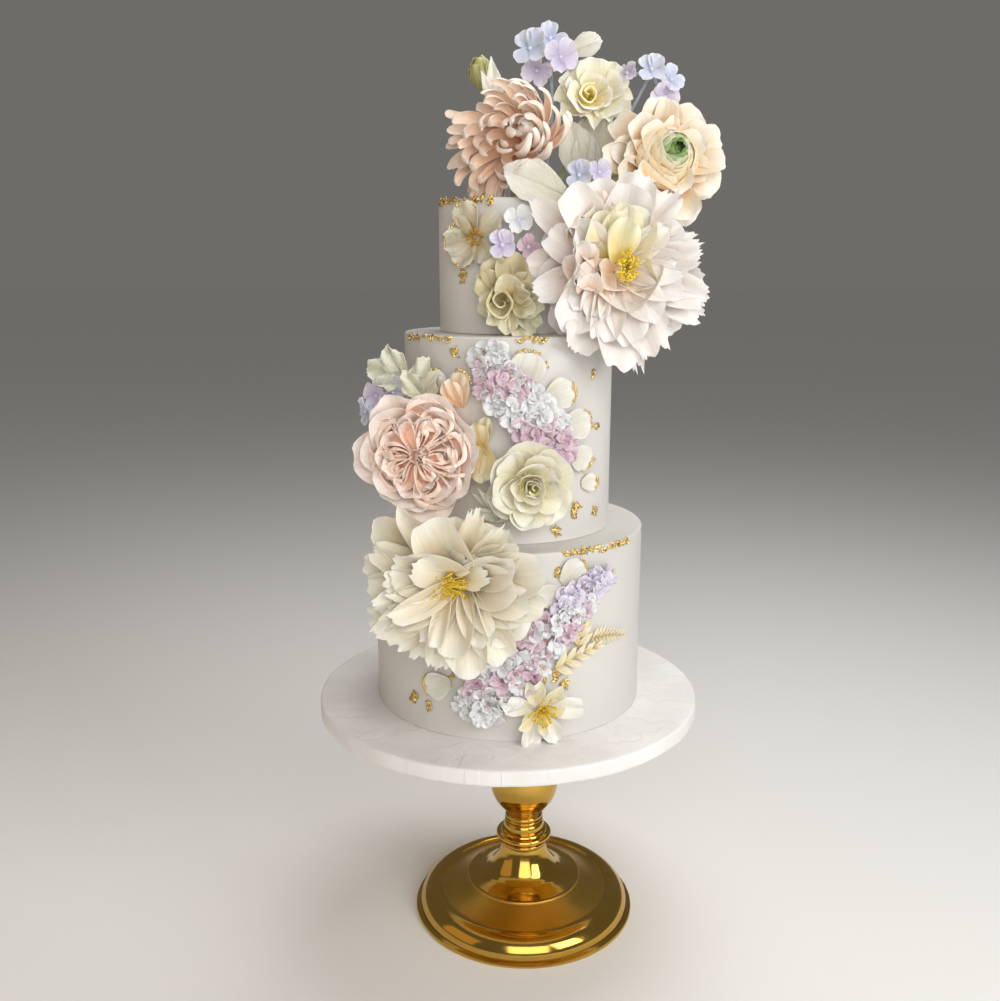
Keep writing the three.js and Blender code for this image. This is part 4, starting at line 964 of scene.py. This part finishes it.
for lift, length, width, first, last in ((16, 20, 15, 34, -10), (20, 15, 12, 26, -40), (22, 11, 9, 12, -60)):
    rosePeach["rows"].append(ring(
        4, length, width, first, last, lift=lift, cup=75, curl=24, start=2, turn=5 * lift, shift=(3, 1),
        rows=12, columns=11, ruffle=0.8, twist=30, body="fbdfcd", heart="f3b898",
    ))
rosePeach["extra"] = quartered({
    "quarters": 5, "nested": 5, "radius": 37, "spread": 44, "turn": 10, "lift": 12, "height": 19, "dome": 44,
    "roll": 4.0, "bed": "fcd4bc", "deepToneAndShade": "fcc4a2", "body": "ffe4d3", "edge": "fff7f0",
})

flowers = {
    "peony_upper": peonyUpper, "peony_lower": peonyLower, "rose_peach": rosePeach,
    "chrysanthemum": chrysanthemum, "ranunculus": ranunculus, "rose_lemon": roseLemon,
    "rose_small": roseSmall, "blossom_lemon": blossomLemon, "lily": lily, "blossom_pressed": blossomPressed,
}
for name, spec in flowers.items():
    flower(name, spec)

# leaves and single petals
wallPetals = {
    # on a tier: azimuth and height of the middle, length, width, aim of the tip and lean to the wall
    "petal_gilt_1": ("middle", 9, 472, 25, 26, 75, 84), "petal_gilt_2": ("middle", 26, 454, 22, 23, 20, 80),
    "petal_gilt_3": ("middle", 36, 431, 22, 23, 10, 80), "petal_gilt_4": ("middle", 39, 406, 19, 20, -25, 82),
    "petal_gilt_5": ("middle", 27.5, 392, 14, 13, -50, 84),
    "petal_gilt_6": ("middle", 46, 386, 13, 14, 10, 82),
    "petal_cream_side": ("middle", -37, 460, 22, 18, 100, 78),
    "petal_peach_side": ("middle", -24, 458, 28, 18, 80, 74),
    "petal_straw": ("middle", -12, 428, 24, 13, 78, 74),
    "petal_rim_1": ("bottom", 25, 328, 22, 22, 40, 84), "petal_rim_2": ("bottom", 15, 313, 18, 18, 200, 82),
    "petal_low": ("bottom", -29, 240, 22, 22, 200, 84), "petal_under": ("bottom", -15, 264, 26, 22, 250, 84),
    "leaf_lance_1": ("middle", -10, 374, 34, 9, 140, 74), "leaf_lance_2": ("middle", 1, 366, 28, 8, 200, 78),
}
freeLeaves = {  # root, facing, length, width, aim of the tip and lean
    "leaf_ruffled_left": ((-76, -52, 462), (-30, 20), 36, 26, 168, 74),
    "leaf_ruffled_right": ((-62, -62, 450), (-20, 10), 32, 25, 88, 76),
    "leaf_veined_back": ((58, 6, 606), (0, 0), 54, 40, 78, 84),
    "leaf_veined_left": ((38, -51, 592), (-4, 10), 48, 32, 158, 84),
    "leaf_crown": ((46, 6, 697), (0, 10), 26, 19, 22, 84),
    "petal_upright": ((-8, -2, 655), (-10, 10), 40, 15, 98, 80),
}
fronds = {  # like the wall petals, made of leaflets on a rib
    "leaf_gilt": ("bottom", 26, 262, 38, 15, 20, 82), "leaf_plume": ("bottom", 29, 283, 26, 13, 76, 82),
    "fern_gilt": ("bottom", 42.4, 272.5, 38, 15, -8, 84),
}
frondLook = {  # pairs of leaflets, their width and spread, their length at the root and its loss to the tip
    **tones("f3ecd6", "d8bc70", "efe4c0"), "rib": "cda552", "fern": (10, 0.28, 70, 0.76, 0.46),
    "sprig": (5, 0.42, 44, 1.15, 0.55),
}
leaflet = {
    "arc": (0, 0), "luck": 0.5, "start": 0, "rows": 10, "columns": 9, "round": 0.5, "tip": 1.5, "ruffle": 0.5,
    "dent": 0.3, "thick": 0.6, "veins": 0.15,
}
gilt = {  # the gilt petals' share of facing out, and the beads on a rim: number, radius, change and stray
    "facing": 0.65, "beads": 20, "radius": 0.8, "change": 0.45, "stray": 0.6,
    "pressed": ((152, 19, 17), (-166, 24.6, 21), (-128, 23.6, 20), (112, 24.6, 22)),
}
leafBase = {
    "arc": (0, 0), "start": 0, "cup": 22, "luck": 0, "rows": 30, "columns": 31, "thick": 0.8, "round": 0.4,
}
leafSeeds = {"wall": 3000, "free": 4000, "fronds": 5000, "step": 50}
leafLook = {
    "petal": {**tones("e8e6dd", "d6d0bc", "f6f5f0"), "fine": {"ruffle": 0.7, "dent": 0.4, "cup": 12}},
    "peach": {**tones("f6e0c6", "eec094", "f8f0de"), "fine": {"ruffle": 1.6, "veins": 0.3}},
    "straw": {**tones("ebe2be", "c9ac54", "f2ecd2"), "fine": {"ruffle": 1.6, "veins": 0.3}},
    "ruffled": {**tones("eeeee2", "ccd0ac", "dadebc"),
                "fine": {"ruffle": 4.4, "waves": 2.2, "round": 0.45, "tip": 1.2, "teeth": 0.06, "veins": 1.2,
                         "ribs": 4}},
    "veined": {**tones("eceae0", "d2d0b8", "f4f2ea"),
               "fine": {"ruffle": 2.2, "waves": 2, "veins": 0.9, "round": 0.4, "tip": 1.8, "teeth": 0.04}},
    "lance": {**tones("e9ebdc", "a9b294", "f2f3e8"),
              "fine": {"ruffle": 0.5, "round": 0.6, "tip": 1.3, "fall": 0.6, "veins": 0.4}},
    "upright": {**tones("f6f4ea", "dfdcc0", "fbfaf4"),
                "fine": {"ruffle": 0.8, "round": 0.6, "tip": 1.3, "fall": 0.6, "veins": 0.4}},
}
lookOf = {  # the others have the look of a petal
    "petal_peach_side": "peach", "petal_straw": "straw", "leaf_ruffled_left": "ruffled",
    "petal_upright": "upright", "leaf_ruffled_right": "ruffled", "leaf_veined_back": "veined",
    "leaf_veined_left": "veined", "leaf_crown": "veined", "leaf_lance_1": "lance", "leaf_lance_2": "lance",
}
companions = {  # more leaves from the same root, as turn, share of the length and share of the width
    "petal_upright": ((16, 0.8, 0.7), (-9, 0.62, 0.7)),
    "petal_straw": ((30, 0.85, 1.5), (-158, 1.15, 1.8), (188, 0.9, 1.3)),
    "petal_peach_side": ((24, 0.85, 0.9),), "petal_cream_side": ((-26, 0.9, 0.9),),
    "leaf_veined_back": ((30, 0.86, 0.75), (14, 0.7, 0.6)),
    "leaf_ruffled_left": ((-44, 0.85, 0.8), (34, 0.7, 0.7)),
    "leaf_ruffled_right": ((40, 0.8, 0.8), (-34, 0.85, 0.8)),
    "leaf_lance_1": ((18, 0.95, 1.3), (-14, 1.1, 1.1), (-30, 1.0, 1.2)),
}


def onWalls(table):
    # the order, name and place of each petal in a table: its root lies half its length back from its middle
    # on the wall, and it faces out, less so where it is gilt, so that its tip lifts forwards
    for order, (name, (tier, azimuth, height, length, width, aim, lean)) in enumerate(table.items()):
        aside = np.degrees(length * np.cos(np.radians(aim)) / 2 / cake[tier]["radius"])
        rise = length * np.sin(np.radians(aim)) / 2
        facing = gilt["facing"] if name.startswith("petal_gilt") else 1
        root = onWall(tier, azimuth - aside, height - rise, 1)
        yield order, name, (root, (azimuth * facing, 0), length, width, aim, lean)


def leafRow(length, width, lean, fine):  # one petal that starts at its root and bends through its lean
    return ring(1, length, width, lean - 6, lean + 6, **{**leafBase, **fine})


def singleLeaf(name, at, face, length, width, aim, lean, seed):  # a leaf and its companions
    look = leafLook[lookOf.get(name, "petal")]
    made = whorl(leafRow(length, width, lean, look["fine"]), seed, look)
    slot = "leaf_sage" if name.startswith("leaf") else "petal_cream"
    parts = [moved(made, {"at": at, "face": face, "roll": aim})]
    for turn, share, wide in companions.get(name, ()):
        made = whorl(leafRow(length * share, width * wide, lean - 12, look["fine"]), seed + 9, look)
        parts.append(moved(made, {"at": at, "face": face, "roll": aim + turn}))
    sugarPiece(f"{name}_sugar", parts, slot, [name], crisp["petal"])


def frond(name, at, face, length, width, aim, lean, seed):
    # a rib with leaflets in pairs that shorten to its tip, many and narrow on the fern
    def onRib(t):  # a shallow wave that rises to the tip
        return np.stack([length * t, 1.2 * np.sin(3 * t), 1.5 + 1.5 * t], -1)

    rib = np.linspace(0, 1, 12)
    parts = [tubes(onRib(rib)[None], 0.6 - 0.35 * rib, linear(frondLook["rib"]), 6)]
    pairs, full, spread, longest, loss = frondLook["fern" if name.startswith("fern") else "sprig"]
    for k in range(pairs):
        t = 0.1 + 0.88 * k / (pairs - 1)
        long = width * (longest - loss * t)
        for side in (-1, 1):
            made = whorl(ring(1, long, long * full, 74, 92, **leaflet), seed + 10 * k + side, frondLook)
            made["points"] = placed(made["points"], onRib(t), (0, 90), side * (spread - 26 * t))
            parts.append(made)
    parts = [moved(made, {"at": at, "face": face, "roll": aim}) for made in parts]
    sugarPiece(f"{name}_sugar", parts, "petal_cream", [name], crisp["petal"])


bud = {
    "at": (-20, 8, 684), "face": (-30, 60), "seed": 71, "colours": tones("b3b076", "8f8c52", "c9c694"),
    "stalk": [(-20, 8, 676), (-14, 8, 640), (-8, 6, 592)], "stalkRadius": 1.6, "stalkTint": "a3a672",
    "rows": [
        ring(3, 27, 20, 50, -42, lift=-14, start=2, cup=80, ruffle=0.5),
        ring(4, 24, 17, 56, -30, lift=-14, start=3, cup=74, turn=40),
    ],
}


def oliveBud():  # two rings of petals that close over each other, on a stalk
    parts = [whorl(row, bud["seed"] + 9 * k, bud["colours"]) for k, row in enumerate(bud["rows"])]
    parts = [moved(made, bud) for made in parts]
    parts.append(tubes(smoothPath(bud["stalk"], 6)[None], bud["stalkRadius"], linear(bud["stalkTint"]), 10))
    sugarPiece("bud_olive_sugar", parts, "leaf_sage", ["bud_olive"])


for order, name, spec in onWalls(wallPetals):
    singleLeaf(name, *spec, leafSeeds["wall"] + leafSeeds["step"] * order)
for order, (name, spec) in enumerate(freeLeaves.items()):
    singleLeaf(name, *spec, leafSeeds["free"] + leafSeeds["step"] * order)
for order, name, spec in onWalls(fronds):
    frond(name, *spec, leafSeeds["fronds"] + leafSeeds["step"] * order)
oliveBud()
print("leaves ready")

# hydrangea florets
sprays = {  # slot, the stem's way into the cake, and florets as place, azimuth, elevation and petal length
    "hydrangea_crown": (
        "petal_sky", [(30, 6, 690), (32, 8, 640), (24, 8, 592)],
        [(16, -2, 697, -20, 20, 15), (37, -6, 691, 14, 12, 14), (30, 1, 704, 5, 30, 13),
         (21, 4, 684, -5, -15, 12)],
    ),
    "hydrangea_right": (
        "petal_sky", [(100, 2, 672), (85, 9, 645), (64, 12, 618), (42, 11, 592)],
        [(104, -6, 682, -5, 25, 12), (88, -2, 680, -40, 25, 9), (118, -3, 676, 25, 15, 11),
         (114, -5, 664, 10, -5, 12)],
    ),
    "hydrangea_front": (
        "petal_sky", [(54, -38, 606), (44, -24, 597), (36, -18, 592)],
        [(50, -46, 605, -20, 15, 11), (63, -44, 607, 20, 15, 10)],
    ),
    "hydrangea_lilac": (
        "petal_lilac", None,
        [(-5, -61.5, 557, -5, 4, 11), (6, -59, 574, 8, 12, 11), (13, -57.5, 556, 14, 0, 9)],
    ),
    "hydrangea_side": (
        "petal_sky", None,
        [(-84, -52, 452, -30, 15, 13), (-97, -46, 449, -40, 5, 13), (-105, -42, 437, -60, -5, 11)],
    ),
}
floretTints = {
    "sky": tones("dbdfec", "b2bddc", "eceef6"), "lilac": tones("e0daea", "beb2da", "f0ecf4"),
    "pink": tones("e0c6d2", "c094aa", "efe0e6"), "white": tones("f2f2f1", "d6d9e2", "f8f8f7"),
}
sprayTints = {"eye": "dfe3f2", "twig": "b9c2d8", "stem": "b4c0cf"}


def floret(at, face, roll, length, seed, tint, fine):  # four rounded petals round an eye
    row = ring(4, length, length * 1.1, 80, 72, start=0.3, lift=1.2, neck=0.3, peak=0.7, cup=34, thick=0.6,
               ruffle=0.08 * length, dent=0.06 * length)
    return moved(whorl({**row, **fine}, seed, floretTints[tint]), {"at": at, "face": face, "roll": roll})


def spray(name, slot, stem, florets):  # florets with a bead for an eye, joined behind by twigs
    tints = ("sky", "lilac") if slot == "petal_sky" else ("lilac", "white", "pink")
    parts, eyes = [], []
    for k, (x, y, z, azimuth, elevation, length) in enumerate(florets):
        at, face, fine = (x, y, z), (azimuth, elevation), {"rows": 10, "columns": 11}
        parts.append(floret(at, face, 20 * k, length, 31 * k + 7, tints[k % len(tints)], fine))
        eyes.append(placed(np.array([[0, 0, 2.2]]), at, face)[0])
    parts.append(balls(eyes, 1.5, linear(sprayTints["eye"]), 8, 5))
    backs = [np.array(values[:3]) + [0, 1, 0] for values in florets]
    for back in backs[1:]:
        parts.append(tubes(smoothPath([backs[0], back], 5)[None], 1.1, linear(sprayTints["twig"])))
    if stem:
        parts.append(tubes(smoothPath([backs[0], *stem], 6)[None], 1.2, linear(sprayTints["stem"]), 8))
    sugarPiece(f"{name}_florets", parts, slot, [name], crisp["petal"])


for name, (slot, stem, florets) in sprays.items():
    spray(name, slot, stem, florets)
print("hydrangeas ready")

# drifts of pressed florets
drifts = {  # the band runs through azimuth, height and half width; slant is how far a step right also goes up
    "drift_middle": {
        "tier": "middle", "count": 60, "slant": 0.45, "seed": 900,
        "tints": ("white", "pink", "white", "white", "pink", "pink"),
        "path": [(-11, 486, 9), (-4, 463, 15), (7, 444, 17), (20, 424, 15), (28, 406, 9)],
    },
    "drift_bottom": {
        "tier": "bottom", "count": 80, "slant": -0.45, "seed": 1000,
        "tints": ("white", "pink", "white", "pink", "white", "lilac"),
        "path": [(-14, 222, 15), (-5, 243, 17), (6, 264, 16), (17, 288, 14), (28, 308, 11), (36, 325, 8)],
    },
}
driftLook = {
    "mound": "e9e6f2", "beads": ("e2b25a", "e9b59a"),
    "floret": {"rows": 7, "columns": 9, "ruffle": 1.6, "dent": 0.9, "lift": 0.5, "open": (58, 84), "cup": 50},
}


def drift(name, spec):
    # a low lumpy mound along the band, pressed florets that spread over it by a sine, and three beads in the
    # heart of every second one, whose places are handed back
    spine = smoothPath(spec["path"], 10)
    radius = cake[spec["tier"]]["radius"]

    def place(t, side, out):  # share t along the band, side from -1 to 1 across it
        azimuth, height, half = [np.interp(t, np.linspace(0, 1, len(spine)), spine[:, k]) for k in range(3)]
        turn = azimuth + np.degrees(side * half / radius)
        return turn, onWall(spec["tier"], turn, height + spec["slant"] * side * half, out)

    seed, count = spec["seed"], spec["count"]
    s = np.linspace(-1, 1, 13)[None, :]
    t = np.linspace(0, 1, 30)[:, None]
    lumps = 1 + 2.2 * (1 - s**2) + 0.8 * np.sin(9 * s + 20 * t) * np.sin(31 * t)
    mound = place(t + 0 * s, s + 0 * t, lumps)[1][None]
    flat = np.broadcast_to(linear(driftLook["mound"]), mound.shape)
    parts = [shells(mound, 1.2, flat, np.zeros((*mound.shape[:3], 2)))]
    beads = []
    for k in range(count):
        t = (k + 0.5 + 0.4 * wobble(seed + k)) / count
        side = 0.74 * np.sin(2.4 * k + 0.5 * wobble(seed + 7 * k))
        turn, at = place(t, side, 3.2 + 1.6 * wobble(seed + 5 * k) * (1 - abs(side)))
        face = (turn + 26 * wobble(seed + 11 * k), 26 * wobble(seed + 13 * k))
        patch = int(np.clip(6 * t - 0.8 * side + 0.6 * wobble(seed + 3 * k), 0, 5.9))
        length = 9.2 + 1.8 * wobble(seed + 17 * k)
        roll, tint = 90 * wobble(seed + 9 * k), spec["tints"][patch]
        parts.append(floret(at, face, roll, length, seed + 19 * k, tint, driftLook["floret"]))
        if k % 2 == 0:
            around = np.radians(120 * np.arange(3) + 40 * k)
            spots = np.stack([1.1 * np.cos(around), 1.1 * np.sin(around), 2.6 + 0 * around], -1)
            beads.append(placed(spots, at, face))
    sugarPiece(f"{name}_florets", parts, "petal_lilac", [name])
    return np.vstack(beads)


floretBeads = np.vstack([drift(name, spec) for name, spec in drifts.items()])
warm, pale = [linear(code) for code in driftLook["beads"]]
shades = mixed(warm, pale, 0.5 + 0.5 * wobble(np.arange(len(floretBeads))))
sugarPiece("drift_beads", [balls(floretBeads, 0.62, shades, 6, 4)], "petal_apricot")
print("drifts ready")

# gold leaf: crumpled flakes on the icing, and beads of gilt along the pressed petals
leafMetalSpots = {  # flecks as azimuth, height and size, and runs along the upper rims as from, to and count
    "bottom": {
        "flecks": [(44.9, 318.6, 7), (-41.3, 223.9, 8), (-33.8, 221.1, 7), (-23.3, 249.6, 6),
                   (18.7, 250.1, 7), (13.4, 248.1, 6), (22.2, 242.9, 8), (19, 328.4, 6)],
        "rims": [(22, 58, 34)],
    },
    "middle": {
        "flecks": [(-28.5, 483, 8), (50.6, 465.4, 6), (54.6, 427.1, 6), (38, 366.2, 9), (53.7, 362.6, 8),
                   (25.5, 351, 8), (21, 402.1, 8), (32.8, 395.8, 7), (18.3, 473.6, 6)],
        "rims": [(-66, -30, 24), (4, 20, 14)],
    },
    "top": {
        "flecks": [(-47.3, 561.3, 7), (-33.7, 549.1, 7), (-37.8, 534.3, 8), (-21.4, 530.8, 8),
                   (-19.6, 569.2, 7)],
        "rims": [(-72, -12, 46)],
    },
}
goldTint = linear("f7da92")


def flakes(centre, face, spread, count, size, seed):
    # crumpled scraps strewn round a point: each is a small grid bent by sines, turned and tipped by the seed
    i = np.arange(count)
    luck = [wobble(seed + 37 * k + i)[:, None, None] for k in range(7)]
    u = np.linspace(-0.5, 0.5, 5)[None, None, :]
    v = np.linspace(-0.5, 0.5, 5)[None, :, None]
    own = size * (1 + 0.45 * luck[0])
    x = own * u * (1 + 0.4 * np.sin(4 * v + 5 * luck[1]))
    y = own * (0.55 + 0.3 * luck[2]) * v * (1 + 0.4 * np.sin(5 * u + 5 * luck[3]))
    z = 0.16 * own * (np.sin(6 * u + 6 * luck[4]) + np.sin(7 * v + 6 * luck[5]))
    x, y = turned(x, y, 3.1 * luck[6])
    strewn = np.broadcast_arrays(x + spread[0] * luck[1], y + spread[1] * luck[5], z + 0.5)
    grids = placed(np.stack(strewn, -1), centre, face)
    tints = np.broadcast_to(goldTint, grids.shape)
    return shells(grids, 0.3, tints, np.zeros((*grids.shape[:3], 2)))


def goldLeaf():  # nine scraps for each fleck, and pairs of small ones along the rims
    parts = []
    for order, (tier, spots) in enumerate(leafMetalSpots.items()):
        for k, (azimuth, height, size) in enumerate(spots["flecks"]):
            at = onWall(tier, azimuth, height, 0.4)
            spread = (size * 0.3, size * 0.45)
            parts.append(flakes(at, (azimuth, 0), spread, 9, size * 0.5, 100 * order + 9 * k))
        for first, last, count in spots["rims"]:
            for k in range(count):
                own = 1000 * order + first + 13 * k
                azimuth = first + (last - first) * (k + 0.5 * wobble(own)) / count
                at = onWall(tier, azimuth, cake[tier]["top"] - 1.8 + 1.8 * wobble(own + 5), 0.2)
                parts.append(flakes(at, (azimuth, 30), (1.4, 1.2), 2, 2.6 + 1.2 * wobble(own + 9), own))
    return parts


def gilding():
    # beads along the tip of each pressed petal, on the rounded arch that ends it
    edges = [
        (order, *spec) for order, name, spec in onWalls(wallPetals)
        if not name.startswith("leaf") and name != "petal_straw"
    ]
    for order, (angle, length, width) in enumerate(gilt["pressed"], 20):
        edges.append((order, blossomPressed["at"], blossomPressed["face"], length, width, angle, 84))
    spots, sizes = [], []
    beads = np.arange(gilt["beads"])
    for order, at, face, length, width, aim, lean in edges:
        side = np.linspace(-0.97, 0.5, len(beads)) * (1 if order % 2 else -1)
        tau = 1.01 - 0.4 * (1 - np.sqrt(1 - np.abs(side) ** 2.6))
        x = length * tau * np.sin(np.radians(lean))
        y = width / 2 * side * (1 - 0.1 * tau)
        z = length * tau * np.cos(np.radians(lean)) + 0.9
        stray = wobble(order * 90 + np.arange(3 * len(beads))).reshape(-1, 3)
        spots.append(placed(np.stack([x, y, z], -1) + gilt["stray"] * stray, at, face, aim))
        sizes.append(gilt["radius"] + gilt["change"] * wobble(order * 70 + beads))
    return balls(np.vstack(spots), np.concatenate(sizes), goldTint, 7, 4)


newPiece("gold_leaf_flakes", goldLeaf() + [gilding()], coats["gold_leaf"], "stand_metal")
print("gold leaf ready")
